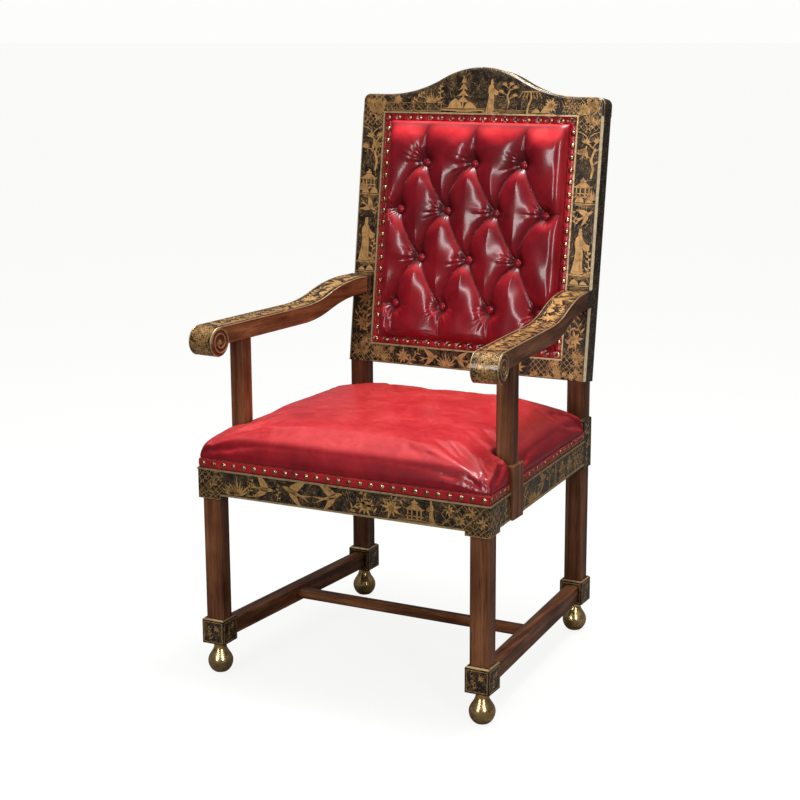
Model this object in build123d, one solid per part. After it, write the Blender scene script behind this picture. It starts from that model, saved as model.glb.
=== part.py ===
from build123d import *
import os
from math import atan, atan2, cos, degrees, hypot, radians, sin, sqrt, tan

# An open armchair in the Georgian manner: a chamfered mahogany underframe on brass
# feet, japanned seat rails and back frame, and close-nailed leather upholstery.
# The chair faces -Y and +X is the right-hand side as seen from the front. While
# the pieces are made, y is zero on the line of the front feet and z on the floor.

os.makedirs("parts", exist_ok=True)

# Feet and plinth blocks
foot_height = 63.0
foot_belly_radius = 24.8
foot_belly_height = 22.0
foot_flat_radius = 8.0
foot_shoulder_radius = 15.5
foot_shoulder_height = 45.0
foot_neck_radius = 12.0
foot_neck_height = 55.0
foot_collar_radius = 15.0
foot_collar_height = 4.0
foot_stem_radius = 5.0
foot_stem_length = 32.0
stem_clearance = 0.1
plinth_width = 48.8
plinth_height = 51.0
plinth_bevel = 3.0

# Legs and stretchers
leg_width = 38.5
leg_chamfer = 5.0
leg_tenon_width = 26.0
front_leg_inset = 24.1
rear_leg_inset = 25.5
leg_depth_spacing = 536.0
stretcher_width = 28.0
stretcher_height = 34.0
stretcher_bevel = 6.0
stretcher_bevel_rise = 3.0
stretcher_lift = 6.5
cross_stretcher_width = 20.0
cross_stretcher_height = 21.0
cross_stretcher_chamfer = 4.0
cross_stretcher_lift = 12.0
cross_stretcher_setback = 265.0
stretcher_tenon_width = 12.0

# Seat frame
seat_front_width = 619.0
seat_rear_width = 557.0
seat_front_overhang = 23.1
rail_top_height = 420.4
rail_depth = 52.0
rail_thickness = 20.0
ear_drop = 8.5
ear_length = 50.0
bead_height = 3.6
bead_proud = 1.2
rear_block_outer_cheek = 7.6
rear_block_inner_cheek = 6.6
rear_block_front_cheek = 16.0
rear_block_rear_setback = 12.0
rear_block_rise = 42.6
rear_block_bevel = 2.0
brace_leg = 62.0
brace_depth = 34.0
brace_drop = 10.0
brace_screw_radius = 2.4
brace_screw_head_radius = 4.6
brace_screw_head_height = 2.2
brace_screw_length = 24.0

# Seat upholstery
tacking_height = 20.0
tacking_thickness = 20.0
tacking_setback = 4.2
band_thickness = 2.0
band_height = 18.0
seat_crown_height = 101.5
seat_rear_lift = 7.3
leather_thickness = 2.5
webbing_width = 50.0
webbing_thickness = 1.5
webbing_length_count = 5
webbing_cross_count = 4
hessian_thickness = 1.0
soft_clearance = 0.3

# Brass nails and leather buttons
nail_radius = 4.2
nail_dome = 2.6
seat_nail_pitch = 22.5
back_nail_pitch = 25.0
nail_end_margin = 8.0
button_radius = 7.6
button_dome = 4.2

# Back frame, laid out in its own leaning plane
back_lift = 119.0
back_front_advance = 21.6
back_rake = 8.03
back_side_overhang = 22.0
back_corner_height = 573.7
back_thickness = 45.5
stile_width = 52.3
bottom_rail_width = 38.7
top_rail_width = 37.3
crest_rise = 58.0
crest_shoulder_length = 56.0
crest_inflexion_share = 0.41
crest_corner_radius = 14.0
crest_edge_round = 9.0
frame_edge_chamfer = 5.0
frame_rear_chamfer = 2.5
fillet_width = 3.4
fillet_proud = 1.6
dowel_radius = 5.0
dowel_half_length = 18.0
post_tenon_width = 20.0
post_tenon_length = 42.0
tenon_clearance = 0.1

# Back upholstery
strainer_width = 30.0
strainer_depth = 34.0
strainer_setback = 6.0
back_band_width = 17.0
back_pad_height = 22.0
button_rows = 4
button_columns = 4
button_side_margin = 56.2
button_top_margin = 105.0
button_bottom_margin = 92.7
back_web_thickness = 2.0
back_web_setback = 24.0
outside_cover_thickness = 2.0
outside_nail_inset = 12.0

# Arms
arm_front_inset = 15.5
arm_rear_inset = 22.5
arm_width = 52.4
arm_nose_radius = 28.2
arm_nose_setback = 4.0
arm_lift = 272.1
arm_rise = 32.5
arm_rear_level_length = 20.4
arm_rise_span = 210.0
arm_inflexion_share = 0.457
arm_depth = 35.0
arm_edge_round = 1.5
arm_block_length = 23.6
arm_post_width = 33.0
arm_post_chamfer = 4.0
arm_post_setback = 101.6
arm_tenon_width = 18.0
arm_tenon_length = 20.0
bracket_width = 46.4
bracket_rise = 49.0
bracket_drop = 1.4
bracket_bevel = 2.0
volute_radius = 26.5
volute_step = 9.0
volute_line_width = 2.6
volute_proud = 1.2
volute_half_turns = 4

# One overrun serves every cut that passes right through
overrun = 5.0

plinth_top = foot_height + plinth_height
stretcher_underside = foot_height + stretcher_lift
cross_stretcher_underside = foot_height + cross_stretcher_lift
half_leg = leg_width / 2
front_leg_x = seat_front_width / 2 - front_leg_inset
rear_leg_x = seat_rear_width / 2 - rear_leg_inset
rail_underside = rail_top_height - rail_depth
ear_underside = rail_underside - ear_drop
tacking_top = rail_top_height + tacking_height
rear_block_top_height = rail_top_height + rear_block_rise
bracket_top_height = rail_top_height + bracket_rise
back_lower_height = rail_top_height + back_lift
arm_front_top_height = rail_top_height + arm_lift
seat_front_y = -seat_front_overhang
seat_rear_y = leg_depth_spacing + half_leg
seat_length = seat_rear_y - seat_front_y
rear_block_front_y = seat_rear_y - leg_width - rear_block_front_cheek
rear_block_outer_x = rear_leg_x + half_leg + rear_block_outer_cheek
rear_block_inner_x = rear_leg_x - half_leg - rear_block_inner_cheek
side_slant = atan((seat_front_width - seat_rear_width) / 2 / seat_length)
lean = radians(back_rake)
half_back = rear_leg_x + back_side_overhang
back_width = 2 * half_back
back_front_setback = leg_depth_spacing - back_front_advance
back_top_lean = (arm_front_top_height - back_lower_height) * tan(lean)
arm_front_x = seat_front_width / 2 - arm_front_inset
arm_rear_x = half_back - arm_rear_inset
arm_rear_y = back_front_setback + back_top_lean - arm_block_length
arm_splay = atan((arm_front_x - arm_rear_x) / arm_rear_y)
bracket_x_middle = arm_front_x - arm_post_setback * tan(arm_splay)
bracket_inner_x = bracket_x_middle - bracket_width / 2
bracket_outer_x = bracket_x_middle + bracket_width / 2
bracket_front_y = arm_post_setback - bracket_width / 2
bracket_rear_y = arm_post_setback + bracket_width / 2

chair = {}


def keep(name, shape):
    """Adds one sub-part under its node's name."""
    chair[name] = shape


def keep_pair(name, shape):
    """Adds a right-hand sub-part and its mirror image on the left."""
    keep(name + "_right", shape)
    keep(name + "_left", mirror(shape, about=Plane.YZ))


def group(solids):
    """Several like solids that share one node."""
    return Compound(children=list(solids))


def flat(points):
    """A face in the XY plane through these corner points."""
    return make_face(Polyline(*points, close=True))


def slab(points, low, high):
    """An upright prism over a plan, from one height to another."""
    return Pos(0, 0, low) * extrude(flat(points), amount=high - low, dir=(0, 0, 1))


def block(x_range, y_range, z_range):
    """An upright box between three pairs of limits."""
    (x0, x1), (y0, y1), (z0, z1) = x_range, y_range, z_range
    return slab([(x0, y0), (x1, y0), (x1, y1), (x0, y1)], z0, z1)


def octagon(width, corner):
    """The corner points of a chamfered square about the origin."""
    a = width / 2
    b = a - corner
    return [(a, -b), (a, b), (b, a), (-b, a), (-a, b), (-a, -b), (-b, -a), (b, -a)]


def chamfered_post(width, corner, x, y, low, high):
    """A square post with chamfered corners."""
    return Pos(x, y, 0) * slab(octagon(width, corner), low, high)


def around(x, y, width):
    """The x and y limits of a square of this width about a point."""
    return (x - width / 2, x + width / 2), (y - width / 2, y + width / 2)


def disc_rod(radius, start, end):
    """A round rod between two points."""
    axis = Vector(*end) - Vector(*start)
    return Plane(origin=start, z_dir=axis) * extrude(Circle(radius), amount=axis.length)


def ogee(start, end, first_share):
    """Two arcs that leave start level and reach end level, the first the share of both radii."""
    (x0, y0), (x1, y1) = start, end
    span = x1 - x0
    rise = y1 - y0
    turn = 2 * atan(abs(rise / span))
    radii = abs(span) / sin(turn)
    along = radii * first_share * sin(turn) * (1 if span > 0 else -1)
    up = radii * first_share * (1 - cos(turn)) * (1 if rise > 0 else -1)
    middle = (x0 + along, y0 + up)
    first = TangentArc(start, middle, tangent=(span / abs(span), 0))
    second = TangentArc(end, middle, tangent=(-span / abs(span), 0))
    return first, second


def side_x(y, inset=0.0):
    """The x of the right-hand seat side at this y, measured in by the inset."""
    outer = seat_front_width / 2 - (y - seat_front_y) * tan(side_slant)
    return outer - inset / cos(side_slant)


def seat_plan(inset, rear_y):
    """The seat's outline as a trapezium, set in by the inset at the front and sides."""
    front_y = seat_front_y + inset
    right = [(side_x(front_y, inset), front_y), (side_x(rear_y, inset), rear_y)]
    return [(-x, y) for x, y in right] + [(x, y) for x, y in reversed(right)]


# Brass feet: a pear on a small flat, a neck, a collar, and a stem up into the leg
def make_foot():
    belly = (foot_belly_radius, foot_belly_height)
    shoulder = (foot_shoulder_radius, foot_shoulder_height)
    neck = (foot_neck_radius, foot_neck_height)
    collar_low = foot_height - foot_collar_height
    stem_top = foot_height + foot_stem_length
    outline = Polyline(
        neck,
        (foot_neck_radius, collar_low),
        (foot_collar_radius, collar_low),
        (foot_collar_radius, foot_height),
        (foot_stem_radius, foot_height),
        (foot_stem_radius, stem_top),
        (0, stem_top),
        (0, 0),
        (foot_flat_radius, 0),
    )
    lower = TangentArc(belly, (foot_flat_radius, 0), tangent=(0, -1))
    upper = TangentArc(belly, shoulder, tangent=(0, 1))
    throat = TangentArc(neck, shoulder, tangent=(0, -1))
    return revolve(Plane.XZ * make_face(outline + lower + upper + throat), axis=Axis.Z)


def stem_hole(x, y):
    """The bore for a foot's stem."""
    radius = foot_stem_radius + stem_clearance
    top = foot_height + foot_stem_length + stem_clearance
    return disc_rod(radius, (x, y, foot_height - overrun), (x, y, top))


# Plinth blocks: a bevelled block with a square mortise for the leg's tenon
def make_plinth(x, y):
    body = block(*around(x, y, plinth_width), (foot_height, plinth_top))
    body = chamfer(body.faces().sort_by(Axis.Z)[-1].edges(), plinth_bevel)
    mortise = block(
        *around(x, y, leg_tenon_width), (foot_height - overrun, plinth_top + overrun)
    )
    return body - mortise


feet_and_legs = (
    ("front", front_leg_x, 0),
    ("rear", rear_leg_x, leg_depth_spacing),
)
foot = make_foot()
for place, x, y in feet_and_legs:
    keep_pair("foot_" + place, Pos(x, y, 0) * foot)


def leg_tenon(x, y):
    """The square tenon that fills the plinth block, bored for the foot's stem."""
    return block(*around(x, y, leg_tenon_width), (foot_height, plinth_top)) - stem_hole(x, y)


# Seat rails, mitred at the front corners, with a drop under each front corner
def rail_piece(points):
    return slab(points, ear_underside, rail_top_height)


inner_front_y = seat_front_y + rail_thickness
front_outer_x = side_x(seat_front_y)
front_inner_x = side_x(inner_front_y, rail_thickness)
front_rail_plan = [
    (-front_outer_x, seat_front_y),
    (front_outer_x, seat_front_y),
    (front_inner_x, inner_front_y),
    (-front_inner_x, inner_front_y),
]
under_front_rail = block(
    (-front_outer_x + ear_length, front_outer_x - ear_length),
    (seat_front_y - overrun, inner_front_y + overrun),
    (ear_underside - overrun, rail_underside),
)
keep("seat_rail_front", rail_piece(front_rail_plan) - under_front_rail)

side_rail_plan = [
    (front_outer_x, seat_front_y),
    (side_x(rear_block_front_y), rear_block_front_y),
    (side_x(rear_block_front_y, rail_thickness), rear_block_front_y),
    (front_inner_x, inner_front_y),
]
under_side_rail = block(
    (rear_block_inner_x - overrun, front_outer_x + overrun),
    (seat_front_y + ear_length, rear_block_front_y + overrun),
    (ear_underside - overrun, rail_underside),
)
keep_pair("seat_rail_side", rail_piece(side_rail_plan) - under_side_rail)

rear_rail_x = rear_leg_x - half_leg
rear_rail = block(
    (-rear_rail_x, rear_rail_x),
    (seat_rear_y - rail_thickness, seat_rear_y),
    (rail_underside, rail_top_height),
)
keep("seat_rail_rear", rear_rail)


# Gilt beads along the top and bottom edges of the front and side rails
def bead_strip(start, end, low, miter_start, miter_end):
    """A strip standing proud of a rail's face, with mitred or square ends."""
    (x0, y0), (x1, y1) = start, end
    length = hypot(x1 - x0, y1 - y0)
    plan = [
        (0, 0),
        (length, 0),
        (length + miter_end * bead_proud, -bead_proud),
        (-miter_start * bead_proud, -bead_proud),
    ]
    turn = degrees(atan2(y1 - y0, x1 - x0))
    return Pos(x0, y0, 0) * Rot(0, 0, turn) * slab(plan, low, low + bead_height)


corner_miter = tan(radians(45) - side_slant / 2)
bracket_room = block(
    (0, seat_front_width), (bracket_front_y, bracket_rear_y), (0, rail_top_height)
)
beads_front = []
beads_right = []
for low in (rail_top_height - bead_height, rail_underside):
    inset = 0 if low > rail_underside else ear_length
    miter = corner_miter if low > rail_underside else 0
    left_end = (-front_outer_x + inset, seat_front_y)
    right_end = (front_outer_x - inset, seat_front_y)
    beads_front.append(bead_strip(left_end, right_end, low, miter, miter))
    start_y = seat_front_y + inset
    start = (side_x(start_y), start_y)
    end = (side_x(rear_block_front_y), rear_block_front_y)
    cut = bead_strip(start, end, low, miter, 0) - bracket_room
    beads_right = beads_right + list(cut.solids())
beads_left = [mirror(s, about=Plane.YZ) for s in beads_right]
keep("rail_beads", group(beads_front + beads_right + beads_left))

# Legs: chamfered square below, notched into the corner of the rails above
front_leg_head = slab(
    [
        (front_leg_x - half_leg, inner_front_y),
        (front_inner_x, inner_front_y),
        (side_x(half_leg, rail_thickness), half_leg),
        (front_leg_x - half_leg, half_leg),
    ],
    ear_underside,
    rail_top_height,
)
front_leg = chamfered_post(leg_width, leg_chamfer, front_leg_x, 0, plinth_top, ear_underside)
keep_pair("front_leg", front_leg + front_leg_head + leg_tenon(front_leg_x, 0))
keep_pair("plinth_block_front", make_plinth(front_leg_x, 0))

# Back frame: its members are cut from one outline in the leaning plane
back_plane = Plane(
    origin=(0, back_front_setback, back_lower_height),
    x_dir=(1, 0, 0),
    z_dir=(0, -cos(lean), sin(lean)),
)
opening_x = half_back - stile_width
opening_low = bottom_rail_width
opening_high = back_corner_height - top_rail_width
crest_peak = back_corner_height + crest_rise
crest_half_span = half_back - crest_shoulder_length


def on_back(shape):
    """Moves a shape from the back's own plane to its place."""
    return back_plane * shape


def back_block(x_range, up_range, out_range):
    """A box in the back's own plane."""
    return block(x_range, up_range, out_range)


def make_back_outline():
    shoulder = (crest_half_span, back_corner_height)
    peak = (0, crest_peak)
    # The concave arc is nearer the shoulder, so its share is what the crown leaves
    low_arc, high_arc = ogee(shoulder, peak, 1 - crest_inflexion_share)
    round_start = (half_back, back_corner_height - crest_corner_radius)
    round_end = (half_back - crest_corner_radius, back_corner_height)
    corner = TangentArc(round_start, round_end, tangent=(0, 1))
    right = (
        Line((0, 0), (half_back, 0))
        + Line((half_back, 0), round_start)
        + corner
        + Line(round_end, shoulder)
        + low_arc
        + high_arc
    )
    return make_face(right + mirror(right, about=Plane.YZ))


back_blank = Pos(0, 0, -back_thickness) * extrude(
    make_back_outline(), amount=back_thickness, dir=(0, 0, 1)
)
above = back_block(
    (-half_back - overrun, half_back + overrun),
    (opening_high, crest_peak + overrun),
    (-back_thickness - overrun, overrun),
)
crest = back_blank & above


def upper_front_edges(shape):
    """The edges of the crest's front face, less the straight joint with the stiles."""
    front = shape.faces().sort_by(Axis.Z)[-1]
    return [e for e in front.edges() if e.center().Y > opening_high + dowel_radius / 2]


crest = fillet(upper_front_edges(crest), crest_edge_round)
stile_blank = back_block((opening_x, half_back), (0, opening_high), (-back_thickness, 0))
outer_edges = stile_blank.edges().filter_by(Axis.Y).group_by(Axis.X)[-1]
stile = chamfer(outer_edges.sort_by(Axis.Z)[-1], frame_edge_chamfer)
outer_edges = stile.edges().filter_by(Axis.Y).group_by(Axis.Z)[0]
stile = chamfer(outer_edges.sort_by(Axis.X)[-1], frame_rear_chamfer)
bottom_rail = back_block((-opening_x, opening_x), (0, opening_low), (-back_thickness, 0))

# Dowels in the four joints of the back frame
dowel_depth = -back_thickness / 2
dowel_places = []
for x in (opening_x + stile_width / 4, opening_x + stile_width * 3 / 4):
    low = (x, opening_high - dowel_half_length, dowel_depth)
    high = (x, opening_high + dowel_half_length, dowel_depth)
    dowel_places.append((low, high))
low = (opening_x - dowel_half_length, opening_low / 2, dowel_depth)
high = (opening_x + dowel_half_length, opening_low / 2, dowel_depth)
dowel_places.append((low, high))


def mirrored(point):
    return (-point[0], point[1], point[2])


dowels_right = [disc_rod(dowel_radius, a, b) for a, b in dowel_places]
dowels_left = [disc_rod(dowel_radius, mirrored(a), mirrored(b)) for a, b in dowel_places]
for dowel in dowels_right + dowels_left:
    crest = crest - dowel
    bottom_rail = bottom_rail - dowel
for dowel in dowels_right:
    stile = stile - dowel
keep("crest_rail", on_back(crest))
keep("back_bottom_rail", on_back(bottom_rail))
keep("back_frame_dowels", on_back(group(dowels_right + dowels_left)))

# Rear posts: straight from the plinth to the leaning underside of the back,
# with a tenon up into the stile
below_back = on_back(
    back_block(
        (-back_width, back_width),
        (-back_lower_height * 2, 0),
        (-back_lower_height, back_lower_height),
    )
)
post_top = back_lower_height + post_tenon_length
rear_post = chamfered_post(
    leg_width, leg_chamfer, rear_leg_x, leg_depth_spacing, plinth_top, post_top
)
rear_post = rear_post & below_back
post_tenon = block(
    *around(rear_leg_x, leg_depth_spacing, post_tenon_width),
    (back_lower_height - back_thickness, post_top),
)
tenon_room = block(
    *around(rear_leg_x, leg_depth_spacing, post_tenon_width + 2 * tenon_clearance),
    (back_lower_height - back_thickness, post_top + tenon_clearance),
)
stile = on_back(stile) - tenon_room
keep_pair("back_stile", stile)
rear_post = rear_post + (post_tenon - below_back)
rear_post = rear_post + leg_tenon(rear_leg_x, leg_depth_spacing)
keep_pair("rear_post", rear_post)
keep_pair("plinth_block_rear", make_plinth(rear_leg_x, leg_depth_spacing))

# Japanned corner blocks that wrap the rear posts at the seat, open behind
rear_block = block(
    (rear_block_inner_x, rear_block_outer_x),
    (rear_block_front_y, seat_rear_y - rear_block_rear_setback),
    (ear_underside, rear_block_top_height),
)
rear_block_top_edges = rear_block.faces().sort_by(Axis.Z)[-1].edges()
rear_block = chamfer(rear_block_top_edges, rear_block_bevel)
post_notch = block(
    (rear_leg_x - half_leg, rear_leg_x + half_leg),
    (seat_rear_y - leg_width, seat_rear_y + overrun),
    (ear_underside - overrun, rear_block_top_height + overrun),
)
keep_pair("rear_corner_block", rear_block - post_notch - rear_rail)


# Side stretchers between the plinth blocks, bevelled along the top, and the cross
# stretcher tenoned between them
def stretcher_section():
    a = stretcher_width / 2
    shoulder = stretcher_height - stretcher_bevel_rise
    crown = a - stretcher_bevel
    return [
        (-a, 0),
        (a, 0),
        (a, shoulder),
        (crown, stretcher_height),
        (-crown, stretcher_height),
        (-a, shoulder),
    ]


stretcher_front_y = plinth_width / 2
stretcher_rear_y = leg_depth_spacing - plinth_width / 2
leg_slant = atan((front_leg_x - rear_leg_x) / leg_depth_spacing)


def stretcher_x(y):
    """The x of the right-hand stretcher's centre line at this y."""
    return front_leg_x - y * tan(leg_slant)


stretcher_run = Plane(
    origin=(front_leg_x, 0, stretcher_underside),
    x_dir=(cos(leg_slant), sin(leg_slant), 0),
    z_dir=(sin(leg_slant), -cos(leg_slant), 0),
)
stretcher = stretcher_run * extrude(
    flat(stretcher_section()), amount=-leg_depth_spacing / cos(leg_slant)
)
between_plinths = block(
    (0, seat_front_width),
    (stretcher_front_y, stretcher_rear_y),
    (0, plinth_top),
)
stretcher = stretcher & between_plinths
cross_end_x = stretcher_x(cross_stretcher_setback)
cross_middle_z = cross_stretcher_underside + cross_stretcher_height / 2
cross_tenon = block(
    (-cross_end_x, cross_end_x),
    (
        cross_stretcher_setback - stretcher_tenon_width / 2,
        cross_stretcher_setback + stretcher_tenon_width / 2,
    ),
    (
        cross_middle_z - stretcher_tenon_width / 2,
        cross_middle_z + stretcher_tenon_width / 2,
    ),
)
keep_pair("side_stretcher", stretcher - cross_tenon)


def cross_section_points():
    a = cross_stretcher_width / 2
    b = a - cross_stretcher_chamfer
    h = cross_stretcher_height / 2
    g = h - cross_stretcher_chamfer
    return [(a, -g), (a, g), (b, h), (-b, h), (-a, g), (-a, -g), (-b, -h), (b, -h)]


cross_plane = Plane(
    origin=(-front_leg_x, cross_stretcher_setback, cross_middle_z),
    x_dir=(0, 1, 0),
    z_dir=(1, 0, 0),
)
cross_bar = cross_plane * extrude(flat(cross_section_points()), amount=2 * front_leg_x)
between_stretchers = slab(
    [
        (stretcher_x(y) * side - side * stretcher_width / 2 / cos(leg_slant), y)
        for side, y in (
            (-1, 0),
            (1, 0),
            (1, leg_depth_spacing),
            (-1, leg_depth_spacing),
        )
    ],
    0,
    plinth_top,
)
keep("cross_stretcher", (cross_bar & between_stretchers) + cross_tenon)

# Tacking rails on top of the seat rails, set back to take the border band
tack_plan = seat_plan(tacking_setback, seat_rear_y - tacking_setback)
tack_front_y = seat_front_y + tacking_setback
tack_inner_y = tack_front_y + tacking_thickness
tack_inset = tacking_setback + tacking_thickness
tack_corner = (side_x(tack_front_y, tacking_setback), tack_front_y)
tack_inner_corner = (side_x(tack_inner_y, tack_inset), tack_inner_y)
tack_front_plan = [
    (-tack_corner[0], tack_front_y),
    tack_corner,
    tack_inner_corner,
    (-tack_inner_corner[0], tack_inner_y),
]
tack_side_plan = [
    tack_corner,
    (side_x(rear_block_front_y, tacking_setback), rear_block_front_y),
    (side_x(rear_block_front_y, tack_inset), rear_block_front_y),
    tack_inner_corner,
]
keep("tacking_rail_front", slab(tack_front_plan, rail_top_height, tacking_top))
keep_pair("tacking_rail_side", slab(tack_side_plan, rail_top_height, tacking_top))
tack_rear = block(
    (-rear_block_inner_x, rear_block_inner_x),
    (seat_rear_y - tack_inset, seat_rear_y - tacking_setback),
    (rail_top_height, tacking_top),
)
keep("tacking_rail_rear", tack_rear)


# Arm brackets: a block on the seat side with a cheek down over the rail's face
def inside_of(inset, high):
    """The space inside a seat side that is set in by this much."""
    plan = [
        (0, seat_front_y),
        (side_x(seat_front_y, inset), seat_front_y),
        (side_x(seat_rear_y, inset), seat_rear_y),
        (0, seat_rear_y),
    ]
    return slab(plan, 0, high)


bracket = block(
    (bracket_inner_x, bracket_outer_x),
    (bracket_front_y, bracket_rear_y),
    (rail_underside - bracket_drop, bracket_top_height),
)
bracket = chamfer(bracket.faces().sort_by(Axis.Z)[-1].edges(), bracket_bevel)
bracket = bracket - inside_of(0, rail_top_height) - inside_of(tacking_setback, tacking_top)
bracket_mortise = block(
    *around(bracket_x_middle, arm_post_setback, arm_tenon_width),
    (bracket_top_height - arm_tenon_length, bracket_top_height + overrun),
)
keep_pair("arm_bracket", bracket - bracket_mortise)

# Arms: a level front with a rolled nose, swept up to the back
arm_nose_z = arm_front_top_height - arm_nose_radius
arm_bottom_z = arm_front_top_height - arm_depth
arm_reach = arm_rear_y / cos(arm_splay) + arm_width


def make_arm_profile():
    rise_end = arm_rear_y - arm_rear_level_length
    rise_start = rise_end - arm_rise_span
    nose_top = (arm_nose_setback, arm_front_top_height)
    nose_front = (arm_nose_setback - arm_nose_radius, arm_nose_z)
    nose_bottom = (arm_nose_setback, arm_nose_z - arm_nose_radius)
    drop = arm_nose_z - arm_bottom_z
    throat = (arm_nose_setback + sqrt(arm_nose_radius**2 - drop**2), arm_bottom_z)
    top_start = (rise_start, arm_front_top_height)
    top_end = (rise_end, arm_front_top_height + arm_rise)
    low_start = (rise_start, arm_bottom_z)
    low_end = (rise_end, arm_bottom_z + arm_rise)
    top_a, top_b = ogee(top_start, top_end, arm_inflexion_share)
    low_a, low_b = ogee(low_start, low_end, arm_inflexion_share)
    return make_face(
        Line(nose_top, top_start)
        + top_a
        + top_b
        + Polyline(top_end, (arm_reach, top_end[1]), (arm_reach, low_end[1]), low_end)
        + low_b
        + low_a
        + Line(low_start, throat)
        + TangentArc(nose_bottom, throat, tangent=(1, 0))
        + TangentArc(nose_bottom, nose_front, tangent=(-1, 0))
        + TangentArc(nose_front, nose_top, tangent=(0, 1))
    )


arm_blank = Plane.YZ * make_arm_profile()
arm = Pos(-arm_width / 2, 0, 0) * extrude(arm_blank, amount=arm_width, dir=(1, 0, 0))
side_edges = arm.edges().group_by(Axis.X)[0] + arm.edges().group_by(Axis.X)[-1]
long_edges = [e for e in side_edges if e.center().Y < arm_rear_y + arm_width / 2]
arm = fillet(long_edges, arm_edge_round)


def place_arm(shape):
    """Moves a shape from the arm's own straight line to the splayed right-hand arm."""
    return Pos(arm_front_x, 0, 0) * Rot(0, 0, degrees(arm_splay)) * shape


arm = place_arm(arm)
arm_trim = block(
    (0, seat_front_width),
    (-arm_width, arm_rear_y),
    (0, arm_front_top_height + arm_rise + arm_width),
)
arm = arm & arm_trim
post_into_arm = block(
    *around(bracket_x_middle, arm_post_setback, arm_tenon_width),
    (arm_bottom_z - overrun, arm_bottom_z + arm_tenon_length),
)
keep_pair("arm", arm - post_into_arm)

arm_post = chamfered_post(
    arm_post_width,
    arm_post_chamfer,
    bracket_x_middle,
    arm_post_setback,
    bracket_top_height,
    arm_bottom_z,
)
arm_post_tenons = block(
    *around(bracket_x_middle, arm_post_setback, arm_tenon_width),
    (bracket_top_height - arm_tenon_length, arm_bottom_z + arm_tenon_length),
)
keep_pair("arm_post", arm_post + arm_post_tenons)

# Japanned block between each arm's rear end and the stile
in_front_of_back = on_back(
    back_block(
        (-back_width, back_width),
        (-back_lower_height, crest_peak + back_lower_height),
        (0, back_lower_height),
    )
)
arm_block = block(
    (arm_rear_x - arm_width / 2, arm_rear_x + arm_width / 2),
    (arm_rear_y, arm_rear_y + back_thickness),
    (arm_bottom_z + arm_rise, arm_front_top_height + arm_rise),
)
keep_pair("arm_rear_block", arm_block & in_front_of_back)


# Gilt volutes on both sides of each arm's nose: a ribbon of half turns that
# shrinks round an eye
def half_ring(centre, radius, upper):
    inner = radius - volute_line_width
    side = 1 if upper else -1
    y, z = centre
    outer_arc = ThreePointArc((y - radius, z), (y, z + side * radius), (y + radius, z))
    inner_arc = ThreePointArc((y - inner, z), (y, z + side * inner), (y + inner, z))
    ends = Line((y - radius, z), (y - inner, z)) + Line((y + inner, z), (y + radius, z))
    return make_face(outer_arc + inner_arc + ends)


def make_volute():
    ribbon = None
    y = arm_nose_setback
    radius = volute_radius
    for turn in range(volute_half_turns):
        ring = half_ring((y, arm_nose_z), radius, turn % 2 == 0)
        ribbon = ring if ribbon is None else ribbon + ring
        y = y + (volute_step / 2 if turn % 2 == 0 else -volute_step / 2)
        radius = radius - volute_step / 2
    eye = Pos(y, arm_nose_z) * Circle(volute_step / 2)
    raised = extrude(Plane.YZ * (ribbon + eye), amount=volute_proud, dir=(1, 0, 0))
    return raised


volute = make_volute()
outer_volute = Pos(arm_width / 2, 0, 0) * volute
inner_volute = Pos(-arm_width / 2 - volute_proud, 0, 0) * volute
volutes = [place_arm(s) for s in outer_volute.solids() + inner_volute.solids()]
keep("arm_volutes", group(volutes + [mirror(s, about=Plane.YZ) for s in volutes]))


# Corner braces glued and screwed inside the seat frame
def make_front_brace():
    corner = (side_x(half_leg, rail_thickness), half_leg)
    inner_y = inner_front_y
    leg_side = front_leg_x - half_leg
    plan = [
        (leg_side, half_leg),
        corner,
        (side_x(half_leg + brace_leg, rail_thickness), half_leg + brace_leg),
        (leg_side - brace_leg, inner_y),
        (leg_side, inner_y),
    ]
    top = rail_top_height - brace_drop
    return slab(plan, top - brace_depth, top)


def make_rear_brace():
    inner_y = seat_rear_y - rail_thickness
    block_y = rear_block_front_y
    side = side_x(block_y, rail_thickness)
    plan = [
        (rear_block_inner_x, block_y),
        (side, block_y),
        (side_x(block_y - brace_leg, rail_thickness), block_y - brace_leg),
        (rear_block_inner_x - brace_leg, inner_y),
        (rear_block_inner_x, inner_y),
    ]
    top = rail_top_height - brace_drop
    return slab(plan, top - brace_depth, top)


front_brace = make_front_brace()
rear_brace = make_rear_brace()


# Two screws through each brace's long face, heads seated on it
def brace_screws(brace):
    """Two screws whose heads lie on the brace's slanting face."""
    faces = [f for f in brace.faces() if abs(f.normal_at().Z) < 1 / 2]
    face = max(faces, key=lambda f: f.area)
    normal = face.normal_at()
    centre = face.center()
    along = normal.cross(Vector(0, 0, 1))
    screws = []
    for side in (-1, 1):
        seat = centre + along * (side * brace_leg / 4)
        tip = seat - normal * brace_screw_length
        head_top = seat + normal * brace_screw_head_height
        shank = disc_rod(brace_screw_radius, tuple(tip), tuple(seat))
        head = disc_rod(brace_screw_head_radius, tuple(seat), tuple(head_top))
        screws.append(shank + head)
    return screws


braces = []
screws = []
for brace in (front_brace, rear_brace):
    brace_pair = brace_screws(brace)
    for screw in brace_pair:
        brace = brace - screw
    braces = braces + [brace, mirror(brace, about=Plane.YZ)]
    screws = screws + brace_pair + [mirror(s, about=Plane.YZ) for s in brace_pair]
keep("corner_braces", group(braces))
keep("brace_screws", group(screws))

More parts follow.
